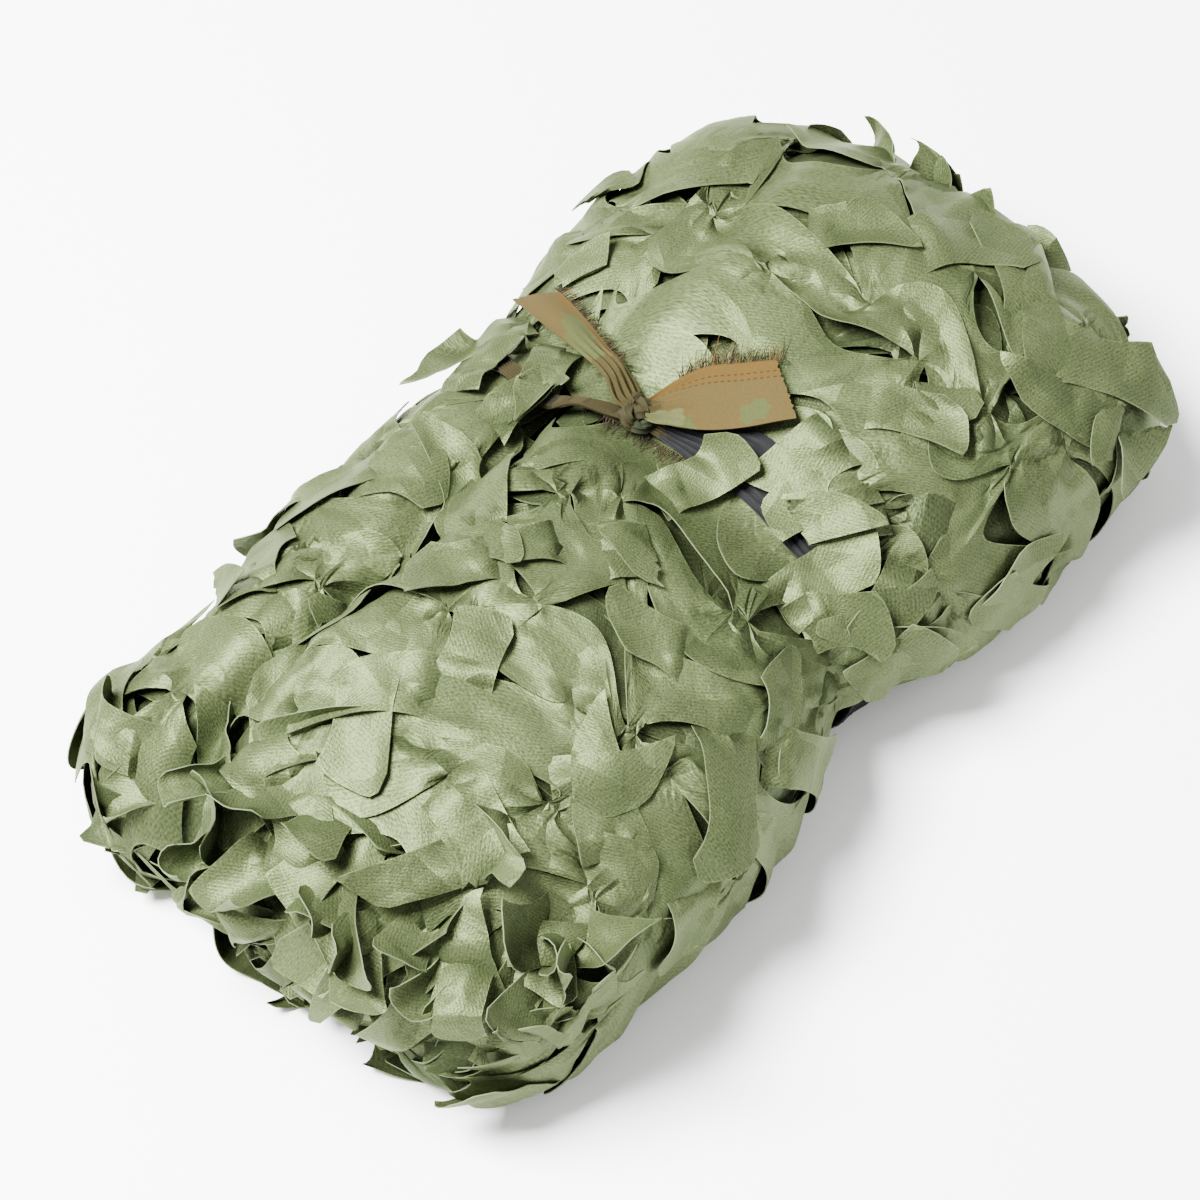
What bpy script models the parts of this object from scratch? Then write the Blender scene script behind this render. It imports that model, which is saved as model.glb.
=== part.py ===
"""A camouflage net folded into an oblong bundle and tied round its middle with a strip of cloth.

The net is one sheet. Its outer ply wraps the bundle: it starts at a lengthwise valley on top, goes
over the far lobe, under the bundle and back over the near lobe to the same valley. There it turns
in and lies back and forth as lofty plies. The outer ply is cut with rows of wavy slits that stand
open, and one lip of each slit is lifted like a leaf. Metres, +Z up, +X along the bundle, +Y to its
far side. The finished pieces have the origin on the floor under the middle of the bundle's box.
"""

import math

import bmesh
import bpy
import numpy as np
from mathutils import Matrix, Vector

FULL_TURN = 2 * math.pi
PART = 0.0003  # gap between neighbouring solids
CENTRE = (0.0020, -0.0087)  # the middle of the bundle's box, in the places that the tables give
SHARP = math.radians(40)  # facets that meet at more than this keep a sharp edge

# The plain bar that the bundle is shaped from: a rounded upper half and a squarer foot.
WIDTH = 0.232
HEIGHT = 0.100
SHOULDER = 0.042  # height at which the sides bulge furthest
TOP_ROUNDNESS = 2.6  # exponent of the upper half
FOOT_ROUNDNESS = 4.0  # exponent of the foot
FOOT_SINK = 0.003  # how much of the foot is cut off flat by the floor

# The bundle from its crumpled end to its other end, a row for each section: how far it reaches to
# the near and the far side, the height of each lobe, how deep the valley is and how far the tie
# lifts it off the floor.
SECTION_COLUMNS = ("x", "near", "far", "near_top", "far_top", "valley", "lift")
SECTIONS = (
    (-0.198, 0.094, 0.094, 0.056, 0.046, 0.012, 0.0),
    (-0.174, 0.111, 0.104, 0.082, 0.066, 0.019, 0.0),
    (-0.130, 0.120, 0.104, 0.098, 0.079, 0.021, 0.0),
    (-0.070, 0.120, 0.103, 0.103, 0.085, 0.018, 0.0),
    (-0.015, 0.113, 0.104, 0.097, 0.085, 0.012, 0.0),
    (0.030, 0.100, 0.099, 0.081, 0.077, 0.003, 0.0066),
    (0.075, 0.118, 0.104, 0.096, 0.086, 0.007, 0.0),
    (0.125, 0.125, 0.106, 0.100, 0.091, 0.009, 0.0),
    (0.172, 0.122, 0.105, 0.091, 0.084, 0.006, 0.0),
    (0.198, 0.108, 0.095, 0.072, 0.067, 0.004, 0.0),
)
WAIST_X = 0.030
WAIST_LEAN = 0.12  # the waist runs askew: further along the bundle on the far side
WAIST_REACH = 0.060
END_BULGE = 0.009  # how far the middle of each end stands out past its corners
END_FROM, END_TO = 0.12, 0.20  # the stretch of each end that does so
END_NOTCH = 0.016  # how far the crumpled end draws back between its two lobes
NOTCH_FROM = 0.14
VALLEY_Y = 0.052
VALLEY_REACH = 0.012
LOBES_MEET = (-0.015, 0.012)  # beside the valley, where one lobe's height passes into the other's
VALLEY_WANDER = 0.005  # how far the top sways to either side, as a wave of WANDER_WAVE radians a metre
WANDER_WAVE = 38
UNEVEN_SIDE = 0.0018  # soft unevenness of the sides: waves along and up them
SIDE_WAVES = (47, 14)
UNEVEN_TOP = 0.0028  # and of the top: one wave along and one across, both a little askew
TOP_WAVES = ((34, 21), (58, -30))

# The incised outer ply.
CLOTH = 0.0022
BANDS = 11
BAND_PITCH = 0.0341
CELLS_ACROSS_BAND = 2
WAIST_BANDS = (6, 7)  # these lie in the waist and bend more
CELLS_ACROSS_WAIST_BAND = 4
SLITS_PER_ROW = 6
CELLS_PER_SLIT = 9
BOND_CELLS = 1
WAVE = 0.0115  # how far a row of slits swings to either side
WAVE_UNEVEN = 0.30  # how much that differs from row to row
WAVE_DRIFT = 0.8  # how far the swings of neighbouring rows slip past each other, in radians
WAVE_SHARPNESS = 0.93  # nearer 1 the wave has straighter flanks
GAP = 0.012  # how far the widest slit stands open
SMALLEST_SLIT = 0.40  # the narrowest one, as a share of that
SLIT_SCATTER = (13, 78)  # radians a row and a slit that the sizes in between are scattered by
LEAF_LIFT = 0.0075  # how far one lip of a slit stands up
LOW_LIP = 0.1  # and the other, as a share of that
LEAF_ON_SIDE = 0.5  # how much of its lift a leaf on the bundle's side keeps
OFF_FLOOR = (0.010, 0.030)  # heights at which leaves begin to lift and do so fully
OVER_SHOULDER = (0.050, 0.080)  # and those at which they pass from the side to the top
EDGE_STANDOFF = 0.006  # share of the way round between the valley and each edge of the ply

# The plies folded back and forth inside.
PLIES = 7
PLY_GAP = 0.0026
CORE_CLEARANCE = 0.0028
PLY_CELLS = 3
FOLD_CELLS = 4
END_STAGGER = 0.006  # how far the plies' ends stand out and back, as waves up and across the end
STAGGER_WAVES = (150, 11)
ROLL_RADIUS = 0.0055
ROLL_SIDES = 8
CORE_STATIONS = (
    -0.176, -0.160, -0.138, -0.110, -0.080, -0.050, -0.022, 0.000, 0.018,
    0.036, 0.054, 0.072, 0.096, 0.122, 0.146, 0.166, 0.183,
)

# The tie: a torn strip of printed cloth. Its band runs round the waist, a row for each place on the
# way round: the band's middle along the bundle, and its half width.
BAND_COLUMNS = ("y", "x", "half")
BAND_OVER = (
    (-0.110, 0.030, 0.0080),
    (-0.058, 0.037, 0.0090),
    (-0.021, 0.045, 0.0105),
    (0.000, 0.041, 0.0080),
    (0.017, 0.035, 0.0050),
    (0.052, 0.025, 0.0050),
    (0.080, 0.032, 0.0065),
    (0.110, 0.040, 0.0075),
)
BAND_UNDER_X = 0.028  # below BAND_LOW the strip crosses the underside, leaning along the bundle
BAND_UNDER_LEAN = 0.13
BAND_UNDER_HALF = 0.0090
BAND_LOW = (0.010, 0.050)
BAND_CLEARANCE = 0.0014
BAND_THICK = 0.0014
BAND_STATIONS = 60
PLEATS = (0.0, 0.0008, 0.0001, 0.0008, 0.0)  # how far the strip rises and falls across its width
PRESSED_FLAT = 0.014  # leaves lie flat this close to the band
PRESSED_FREE = 0.034  # and stand freely from here on
KNOT = (0.035, 0.017)
KNOT_SIZE = (0.0105, 0.0095, 0.0075)
KNOT_RIDGES = 4
KNOT_RIDGE = 0.10
KNOT_TWIST = 2.5  # radians that the ridges turn over half the knot's height
KNOT_FLAT = 0.6  # how far down from its middle the knot is cut off flat, as a share of half of it
TAILS_MIDDLE = (0.049, 0.017)
TAIL_REACH = (0.070, 0.095)  # leaves lie low this close to the free ends' middle, and stand from here
TAIL_SHADE = 0.25  # how much of its lift a leaf under the free ends keeps
TAIL_THICK = 0.0011
TAIL_STEPS = 11
TAIL_CELLS = 5
TAIL_TROUGH = 0.0014
TROUGH_FADES = 0.6  # the share of its depth that the trough has lost at the cut end

# Each free end from the knot to its cut end: how far along and to the left of its heading, how high
# above the net, half its width, and how far its left edge is tipped up.
TAIL_COLUMNS = ("along", "aside", "rise", "half", "tilt")
TAIL_HEADINGS = {"right": math.radians(-47), "upper": math.radians(73)}
TAILS = {
    "right": (
        (0.004, 0.000, 0.0085, 0.0045, 0.00),
        (0.012, 0.001, 0.0100, 0.0085, 0.10),
        (0.024, 0.002, 0.0090, 0.0130, 0.12),
        (0.040, 0.002, 0.0080, 0.0145, 0.10),
        (0.055, 0.002, 0.0085, 0.0145, 0.06),
    ),
    "upper": (
        (0.004, 0.000, 0.0085, 0.0040, 0.00),
        (0.016, -0.001, 0.0120, 0.0050, 0.15),
        (0.030, -0.001, 0.0145, 0.0060, 0.20),
        (0.048, 0.001, 0.0150, 0.0085, 0.15),
        (0.066, 0.002, 0.0150, 0.0100, 0.10),
    ),
}

# Frayed edges: threads pulled out of the torn cloth, standing on a narrow strip of it.
FRAY_THICK = 0.0007
FRAY_STRIP = 0.0010
FRAY_THREADS = {"right": 24, "upper": 18, "band": 14}
FRAY_LENGTH = {"right": 0.0075, "upper": 0.0060, "band": 0.0065}
FRAY_SHORTEST = 0.65  # the shortest thread, as a share of that, and how much longer the others are
FRAY_LONGER = 0.45
FRAY_LEAN = 0.9  # how far a thread's tip leans to its neighbour's place
FRAY_RISE = 0.0012
FRAY_SCATTER = (2.7, 5.3, 3.1)  # radians a thread for its length, its lean and its rise
FRAYED_FROM = {"right": 2, "upper": 3}  # the free ends' rows before these are whole
FRAYED_BAND = (-0.075, -0.020)  # the stretch of the band, from near to far, that is frayed


# ---------------------------------------------------------------- Blender helpers


def clear_scene():
    for item in list(bpy.data.objects):
        bpy.data.objects.remove(item)


def cloth_material(name, colour, roughness):
    material = bpy.data.materials.new(name)
    material.use_nodes = True
    shader = material.node_tree.nodes["Principled BSDF"]
    shader.inputs["Base Color"].default_value = (*colour, 1.0)
    shader.inputs["Roughness"].default_value = roughness
    shader.inputs["Metallic"].default_value = 0.0
    return material


def mesh_object(name, points, faces):
    mesh = bpy.data.meshes.new(name)
    mesh.from_pydata([tuple(map(float, point)) for point in points], [], faces)
    mesh.validate()
    item = bpy.data.objects.new(name, mesh)
    bpy.context.scene.collection.objects.link(item)
    return item


def face_outwards(item):
    """Turns every face of a closed mesh out."""
    work = bmesh.new()
    work.from_mesh(item.data)
    bmesh.ops.recalc_face_normals(work, faces=work.faces)
    if work.calc_volume(signed=True) < 0:
        bmesh.ops.reverse_faces(work, faces=work.faces)
    work.to_mesh(item.data)
    work.free()


def settle(item):
    """Applies the object's modifiers to its mesh."""
    graph = bpy.context.evaluated_depsgraph_get()
    mesh = bpy.data.meshes.new_from_object(item.evaluated_get(graph))
    item.modifiers.clear()
    item.data = mesh


def thicken(item, thickness, offset):
    """Gives a sheet its thickness: offset -1 inwards, 0 to both sides, +1 outwards."""
    modifier = item.modifiers.new("thickness", "SOLIDIFY")
    modifier.thickness = thickness
    modifier.offset = offset
    modifier.use_even_offset = False
    settle(item)


def fuse(item, others):
    """Joins the others to the item as one closed body."""
    for other in others:
        modifier = item.modifiers.new("join", "BOOLEAN")
        modifier.operation = "UNION"
        modifier.object = other
        settle(item)
        bpy.data.objects.remove(other)


def finish(item, material):
    """Gives a piece its material and smooth shading, and moves the bundle's middle to the origin."""
    item.data.transform(Matrix.Translation((-CENTRE[0], -CENTRE[1], 0.0)))
    item.data.shade_smooth()
    item.data.set_sharp_from_angle(angle=SHARP)
    item.data.materials.clear()
    item.data.materials.append(material)


def skin(rings, closed_along):
    """Quads between neighbouring rings of points, given as rows of point numbers."""
    faces = []
    for first, second in zip(rings, rings[1:] + rings[:1] if closed_along else rings[1:]):
        for side in range(len(first) - 1):
            faces.append((first[side], second[side], second[side + 1], first[side + 1]))
    return faces


def numbered(rows):
    """Point numbers for rows of equally many points."""
    width = len(rows[0])
    return [list(range(row * width, (row + 1) * width)) for row in range(len(rows))]


# ---------------------------------------------------------------- the bundle's shape


def smooth_step(value, start, end):
    t = np.clip((value - start) / (end - start), 0.0, 1.0)
    return t * t * (3 - 2 * t)


def smooth_table(at, rows, column):
    """A smooth curve through one column of a table whose first column is the place."""
    table = np.array(rows)
    places, values = table[:, 0], table[:, column]
    slopes = np.gradient(values, places)
    at = np.clip(at, places[0], places[-1])
    row = np.clip(np.searchsorted(places, at, side="right") - 1, 0, len(places) - 2)
    span = places[row + 1] - places[row]
    t = (at - places[row]) / span
    rise = values[row + 1] - values[row]
    bend_in = slopes[row] * span - rise
    bend_out = rise - slopes[row + 1] * span
    return values[row] + t * rise + t * (1 - t) * ((1 - t) * bend_in + t * bend_out)


def section(name, x):
    return smooth_table(x, SECTIONS, SECTION_COLUMNS.index(name))


def shaped(x, y, z, inset=0.0):
    """Moves a point of the plain bar to its place in the bundle, or in a core that much smaller."""
    x, y, z = np.broadcast_arrays(np.asarray(x, float), y, z)
    across = y / (WIDTH / 2)
    high = z / HEIGHT
    bulge = END_BULGE * np.sign(x) * (1 - across**2) * smooth_step(np.abs(x), END_FROM, END_TO)
    between_lobes = np.exp(-(((y - VALLEY_Y) / (2 * VALLEY_REACH)) ** 2))
    bulge = bulge + END_NOTCH * between_lobes * smooth_step(-x, NOTCH_FROM, END_TO)
    place = x
    x = x - WAIST_LEAN * y * np.exp(-(((x - WAIST_X) / WAIST_REACH) ** 2))
    uneven_side = UNEVEN_SIDE * np.sin(SIDE_WAVES[0] * x + 2.0 * np.sign(y) + SIDE_WAVES[1] * z)
    (long_x, long_y), (short_x, short_y) = TOP_WAVES
    uneven_top = UNEVEN_TOP * np.sin(long_x * x + long_y * y + 0.6) * np.cos(short_x * x + short_y * y)
    reach = np.where(across > 0, section("far", x), section("near", x)) - inset
    floor = np.maximum(section("lift", x), 0.0) + inset
    far_lobe = smooth_step(y, VALLEY_Y + LOBES_MEET[0], VALLEY_Y + LOBES_MEET[1])
    top = section("near_top", x) * (1 - far_lobe) + section("far_top", x) * far_lobe - inset
    valley = section("valley", x) * np.exp(-(((y - VALLEY_Y) / VALLEY_REACH) ** 2))
    wander = VALLEY_WANDER * np.sin(WANDER_WAVE * x + 0.5) * (1 - across**2) * high
    moved_y = across * (reach + uneven_side) + wander
    moved_z = floor + high * (top - floor) - valley * high**3 + uneven_top * high**2
    return np.stack([place + bulge, moved_y, moved_z], axis=-1)


def bar_half(z):
    """Half the plain bar's width at a height."""
    upper = z >= SHOULDER
    reach = np.where(upper, HEIGHT - SHOULDER, SHOULDER + FOOT_SINK)
    power = np.where(upper, TOP_ROUNDNESS, FOOT_ROUNDNESS)
    share = np.clip(np.abs(z - SHOULDER) / reach, 0, 1)
    return (WIDTH / 2) * (1 - share**power) ** (1 / power)


def bar_point(angle):
    """A point of the plain bar's section at an angle round it."""
    c, s = np.cos(angle), np.sin(angle)
    power = np.where(s >= 0, 2 / TOP_ROUNDNESS, 2 / FOOT_ROUNDNESS)
    reach = np.where(s >= 0, HEIGHT - SHOULDER, SHOULDER + FOOT_SINK)
    y = WIDTH / 2 * np.sign(c) * np.abs(c) ** power
    z = SHOULDER + reach * np.sign(s) * np.abs(s) ** power
    return y, np.maximum(z, 0.0)


def way_round():
    """Angles against the share of the way round, from the valley over the far side and back."""
    start = math.acos((VALLEY_Y / (WIDTH / 2)) ** (TOP_ROUNDNESS / 2))
    angles = start - np.linspace(0, FULL_TURN, 4001)
    y, z = bar_point(angles)
    way = np.concatenate([[0], np.cumsum(np.hypot(np.diff(y), np.diff(z)))])
    return way / way[-1], angles


SHARES, ANGLES = way_round()


def net_surface(share, x):
    """The bundle's outer surface at a share of the way round it and a place along it."""
    y, z = bar_point(np.interp(np.asarray(share, float) % 1.0, SHARES, ANGLES))
    return shaped(x, y, z)


def above_net(share, x, height):
    """A point at a height over the outer surface, square to it."""
    step = 0.004
    around = net_surface(share + step, x) - net_surface(share - step, x)
    along = net_surface(share, x + step) - net_surface(share, x - step)
    normal = np.cross(along, around)
    normal = normal / np.linalg.norm(normal, axis=-1, keepdims=True)
    return net_surface(share, x) + normal * np.asarray(height)[..., None]


def net_top(x, y):
    """Height of the outer surface's upper side at a place."""
    across = y / (section("far", x) if y > 0 else section("near", x))
    share = min(1.0, abs(across)) ** TOP_ROUNDNESS
    z = SHOULDER + (HEIGHT - SHOULDER) * (1 - share) ** (1 / TOP_ROUNDNESS)
    return float(shaped(x, across * WIDTH / 2, z)[2])


# ---------------------------------------------------------------- the net


def band_at(y, column):
    return smooth_table(y, BAND_OVER, BAND_COLUMNS.index(column))


def leaf_freedom(place):
    """How freely leaves stand, 0 to 1: flat beside the band and near the floor, low under the tails."""
    x, y, z = place[..., 0], place[..., 1], place[..., 2]
    beside_band = smooth_step(np.abs(x - band_at(y, "x")), PRESSED_FLAT, PRESSED_FREE)
    on_top = LEAF_ON_SIDE + (1 - LEAF_ON_SIDE) * smooth_step(z, *OVER_SHOULDER)
    from_tails = np.hypot(x - TAILS_MIDDLE[0], y - TAILS_MIDDLE[1])
    clear_of_tails = TAIL_SHADE + (1 - TAIL_SHADE) * smooth_step(from_tails, *TAIL_REACH)
    freedom = beside_band * smooth_step(z, *OFF_FLOOR) * on_top
    return freedom * np.where(z > SHOULDER, clear_of_tails, 1.0)


def slit_place(row, column):
    """How far along its slit a column is, 0 to 1, or None on a bond, and the slit's number."""
    last = SLITS_PER_ROW * CELLS_PER_SLIT
    if column <= BOND_CELLS or column >= last - BOND_CELLS:
        return None, 0
    shifted = column + (CELLS_PER_SLIT // 2) * (row % 2)
    at = shifted % CELLS_PER_SLIT
    if at <= BOND_CELLS:
        return None, 0
    return (at - BOND_CELLS) / (CELLS_PER_SLIT - BOND_CELLS), shifted // CELLS_PER_SLIT


def slit_bow(row, column):
    """How far a slit stands open at a column, 0 to 1, each slit in its own measure."""
    along, number = slit_place(row, column)
    if along is None:
        return 0.0
    scatter = abs(math.sin(SLIT_SCATTER[0] * (row + 1) + SLIT_SCATTER[1] * (number + 1)))
    size = SMALLEST_SLIT + (1 - SMALLEST_SLIT) * scatter
    return size * math.sin(math.pi * along) ** 0.7


def row_line(row, share):
    """Where a row of slits lies along the bundle at each share of the way round: a sharp wave."""
    swing = np.sin(FULL_TURN * SLITS_PER_ROW * share + WAVE_DRIFT * math.sin(2.1 * row + 0.5))
    size = WAVE * (1 + WAVE_UNEVEN * np.sin(3.7 * row + 1 + 9 * share))
    sharp_swing = np.arcsin(WAVE_SHARPNESS * swing) / math.asin(WAVE_SHARPNESS)
    return (row - BANDS / 2) * BAND_PITCH + size * sharp_swing


def incised_ply():
    """The outer ply: bands between wavy rows of slits, held together by the bonds between slits."""
    columns = SLITS_PER_ROW * CELLS_PER_SLIT
    numbers = np.arange(columns + 1)
    share = EDGE_STANDOFF + (1 - 2 * EDGE_STANDOFF) * numbers / columns
    row_lines = [row_line(row, share) for row in range(BANDS + 1)]
    points = []
    faces = []
    edge_before = None
    for band in range(BANDS):
        rings = []
        cells = CELLS_ACROSS_WAIST_BAND if band in WAIST_BANDS else CELLS_ACROSS_BAND
        for line in range(cells + 1):
            part = line / cells
            x = (1 - part) * row_lines[band] + part * row_lines[band + 1]
            lift = np.zeros(columns + 1)
            if line == 0 and band > 0:
                bow = np.array([slit_bow(band, column) for column in numbers])
                x = x + 0.5 * GAP * bow
                lift = LEAF_LIFT * bow
            if line == cells and band < BANDS - 1:
                bow = np.array([slit_bow(band + 1, column) for column in numbers])
                x = x - 0.5 * GAP * bow
                lift = LOW_LIP * LEAF_LIFT * bow
            rings.append(list(range(len(points), len(points) + columns + 1)))
            points.extend(above_net(share, x, lift * leaf_freedom(net_surface(share, x))))
        if edge_before is not None:
            for column in numbers:
                if slit_place(band, column)[0] is None:
                    rings[0][column] = edge_before[column]
        faces.extend(skin(rings, False))
        edge_before = rings[-1]
    used = sorted({corner for face in faces for corner in face})
    place = {old: new for new, old in enumerate(used)}
    faces = [tuple(place[corner] for corner in face) for face in faces]
    return mesh_object("net", [points[old] for old in used], faces)


def folded_section():
    """The inner plies' outline in the plain bar: along one face of the folded sheet and back."""
    thick = (HEIGHT - (PLIES - 1) * PLY_GAP) / PLIES
    pitch = thick + PLY_GAP
    centre = []
    normals = []
    start = -(bar_half(np.array(thick / 4)) - thick)
    for ply in range(PLIES):
        heading = 1 if ply % 2 == 0 else -1
        middle = thick / 2 + ply * pitch
        fold = middle + pitch / 2
        turns = np.linspace(-math.pi / 2, math.pi / 2, 15)
        outer = pitch / 2 + thick / 2
        room = bar_half(fold + outer * np.sin(turns)) - outer * np.cos(turns)
        end = heading * float(room.min()) if ply < PLIES - 1 else VALLEY_Y - ROLL_RADIUS
        for y in np.linspace(start, end, PLY_CELLS + 1):
            centre.append((y, middle))
            normals.append((0.0, float(heading)))
        if ply < PLIES - 1:
            for step in range(1, FOLD_CELLS):
                turn = math.pi * step / FOLD_CELLS
                centre.append((end + heading * pitch / 2 * math.sin(turn), fold - pitch / 2 * math.cos(turn)))
                normals.append((-heading * math.sin(turn), heading * math.cos(turn)))
        start = end
    centre = np.array(centre)
    normals = np.array(normals)
    return np.concatenate([centre + normals * thick / 2, (centre - normals * thick / 2)[::-1]])


def folded_plies():
    """The plies inside: the folded outline carried along the bundle, with uneven ends."""
    outline = folded_section()
    y, z = outline[:, 0], outline[:, 1]
    count = len(outline)
    points = []
    for number, station in enumerate(CORE_STATIONS):
        is_end = number in (0, len(CORE_STATIONS) - 1)
        up, across = STAGGER_WAVES
        stagger = END_STAGGER * np.sin(up * z + across * y + 2.0 * number) if is_end else 0.0
        points.extend(shaped(station + stagger + 0 * y, y, z, CLOTH + CORE_CLEARANCE))
    rings = [list(range(first, first + count)) + [first] for first in range(0, len(points), count)]
    faces = skin(rings, False)
    for ring in (rings[0], rings[-1]):
        for corner in range(count // 2 - 1):
            faces.append((ring[corner], ring[corner + 1], ring[count - 2 - corner], ring[count - 1 - corner]))
    item = mesh_object("folded_plies", points, faces)
    face_outwards(item)
    return item


def fold_roll():
    """The round fold at the valley, where the outer ply turns in and becomes the top inner ply."""
    points = []
    for x in CORE_STATIONS[1:-1]:
        middle = above_net(1 - 2 * EDGE_STANDOFF, x, -ROLL_RADIUS - PART)
        for side in range(ROLL_SIDES):
            turn = FULL_TURN * side / ROLL_SIDES
            points.append(middle + np.array([0, math.cos(turn), math.sin(turn)]) * ROLL_RADIUS)
    starts = range(0, len(points), ROLL_SIDES)
    rings = [list(range(first, first + ROLL_SIDES)) + [first] for first in starts]
    faces = skin(rings, False) + [tuple(rings[0][:-1]), tuple(rings[-1][:-1])]
    item = mesh_object("fold_roll", points, faces)
    face_outwards(item)
    return item


def make_net(material):
    net = incised_ply()
    thicken(net, CLOTH, -1)
    fuse(net, [fold_roll(), folded_plies()])
    finish(net, material)


# ---------------------------------------------------------------- the tie


def band_rows():
    """Points of the band's inner face, across it at each place on the way round."""
    rows = []
    for share in np.arange(BAND_STATIONS) / BAND_STATIONS:
        _, y, z = net_surface(share, BAND_UNDER_X)
        under = 1 - float(smooth_step(z, *BAND_LOW))
        middle = under * (BAND_UNDER_X + BAND_UNDER_LEAN * y) + (1 - under) * float(band_at(y, "x"))
        half = under * BAND_UNDER_HALF + (1 - under) * float(band_at(y, "half"))
        row = []
        for side, pleat in zip(np.linspace(1, -1, len(PLEATS)), PLEATS):
            row.append(above_net(share, middle + side * half, BAND_CLEARANCE + pleat))
        rows.append(row)
    return rows


def tie_band():
    """The strip drawn tight round the waist, its edges turned in by pleats."""
    rows = band_rows()
    band = mesh_object("tie", [point for row in rows for point in row], skin(numbered(rows), True))
    thicken(band, BAND_THICK, 1)
    return band


def tie_knot():
    """A small hard knot: a ball drawn into a lump with four ridges, flat where it lies on the band."""
    work = bmesh.new()
    bmesh.ops.create_icosphere(work, subdivisions=3, radius=1.0)
    foot = net_top(*KNOT) + BAND_CLEARANCE + BAND_THICK / 2
    for vert in work.verts:
        turn = KNOT_RIDGES * math.atan2(vert.co.y, vert.co.x) + KNOT_TWIST * vert.co.z
        ridge = 1 + KNOT_RIDGE * math.cos(turn)
        x = KNOT[0] + KNOT_SIZE[0] * ridge * vert.co.x
        y = KNOT[1] + KNOT_SIZE[1] * ridge * vert.co.y
        vert.co = Vector((x, y, foot + KNOT_SIZE[2] * (max(vert.co.z, -KNOT_FLAT) + KNOT_FLAT)))
    mesh = bpy.data.meshes.new("knot")
    work.to_mesh(mesh)
    work.free()
    item = bpy.data.objects.new("knot", mesh)
    bpy.context.scene.collection.objects.link(item)
    return item


def tail_rows(name):
    """Rows of points across a free end, from the knot outwards, with a soft trough along it."""
    table = np.array(TAILS[name])
    places = np.linspace(table[0, 0], table[-1, 0], TAIL_STEPS)
    heading = TAIL_HEADINGS[name]
    ahead = np.array([math.cos(heading), math.sin(heading), 0.0])
    left = np.array([-ahead[1], ahead[0], 0.0])
    rows = []
    for number, along in enumerate(places):
        _, aside, rise, half, tilt = (
            np.interp(along, table[:, 0], table[:, column]) for column in range(len(TAIL_COLUMNS))
        )
        middle = np.array([*KNOT, 0.0]) + ahead * along + left * aside
        middle[2] = net_top(middle[0], middle[1]) + rise
        across = left * math.cos(tilt) + np.array([0, 0, math.sin(tilt)])
        row = []
        for side in np.linspace(-1, 1, TAIL_CELLS + 1):
            trough = TAIL_TROUGH * math.cos(math.pi * side) * (1 - TROUGH_FADES * number / TAIL_STEPS)
            row.append(middle + across * side * half + np.array([0, 0, trough]))
        rows.append(row)
    return rows


def tie_tail(name):
    rows = tail_rows(name)
    tail = mesh_object(name, [point for row in rows for point in row], skin(numbered(rows), False))
    thicken(tail, TAIL_THICK, 0)
    return tail


def make_tie(material):
    tie = tie_band()
    fuse(tie, [tie_knot(), tie_tail("right"), tie_tail("upper")])
    finish(tie, material)


# ---------------------------------------------------------------- the frayed edges


def resampled(line, count):
    """The line again as that many points at equal distances."""
    line = np.array(line)
    way = np.concatenate([[0], np.cumsum(np.linalg.norm(np.diff(line, axis=0), axis=1))])
    at = np.linspace(0, way[-1], count)
    return np.stack([np.interp(at, way, line[:, axis]) for axis in range(3)], axis=-1)


def make_fray(name, edge, inside, material):
    """Loose threads beside a torn edge: a narrow strip, with a four-sided thread on every other cell.

    edge is the torn edge's line, and inside is a line next to it in the cloth, which gives the
    threads' direction.
    """
    threads = FRAY_THREADS[name]
    edge = resampled(edge, 2 * threads + 2)
    outwards = edge - resampled(inside, 2 * threads + 2)
    outwards = outwards / np.linalg.norm(outwards, axis=1, keepdims=True)
    along = np.gradient(edge, axis=0)
    normals = np.cross(outwards, along)
    normals = normals / np.linalg.norm(normals, axis=1, keepdims=True) * FRAY_THICK / 2
    strip = [edge + outwards * reach for reach in (PART, PART + FRAY_STRIP)]
    rings = np.stack([strip[0] - normals, strip[0] + normals, strip[1] + normals, strip[1] - normals], 1)
    points = [point for ring in rings for point in ring]
    faces = [(0, 1, 2, 3), tuple(4 * (len(edge) - 1) + corner for corner in (3, 2, 1, 0))]
    for cell in range(len(edge) - 1):
        a, b = 4 * cell, 4 * cell + 4
        faces.extend([(a, a + 1, b + 1, b), (a + 1, a + 2, b + 2, b + 1), (a + 3, a, b, b + 3)])
        if cell % 2 == 0:
            faces.append((a + 2, a + 3, b + 3, b + 2))
            continue
        by_length, by_lean, by_rise = (math.sin(step * cell) for step in FRAY_SCATTER)
        length = FRAY_LENGTH[name] * (FRAY_SHORTEST + FRAY_LONGER * abs(by_length))
        sway = along[cell] * FRAY_LEAN * by_lean + np.array([0, 0, FRAY_RISE * by_rise])
        root = (strip[1][cell] + strip[1][cell + 1]) / 2
        tip = len(points)
        points.append(root + outwards[cell] * length + sway)
        corners = (a + 2, a + 3, b + 3, b + 2)
        faces.extend((corners[k], corners[(k + 1) % 4], tip) for k in range(4))
    item = mesh_object(f"fray_{name}", points, faces)
    face_outwards(item)
    finish(item, material)


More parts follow.
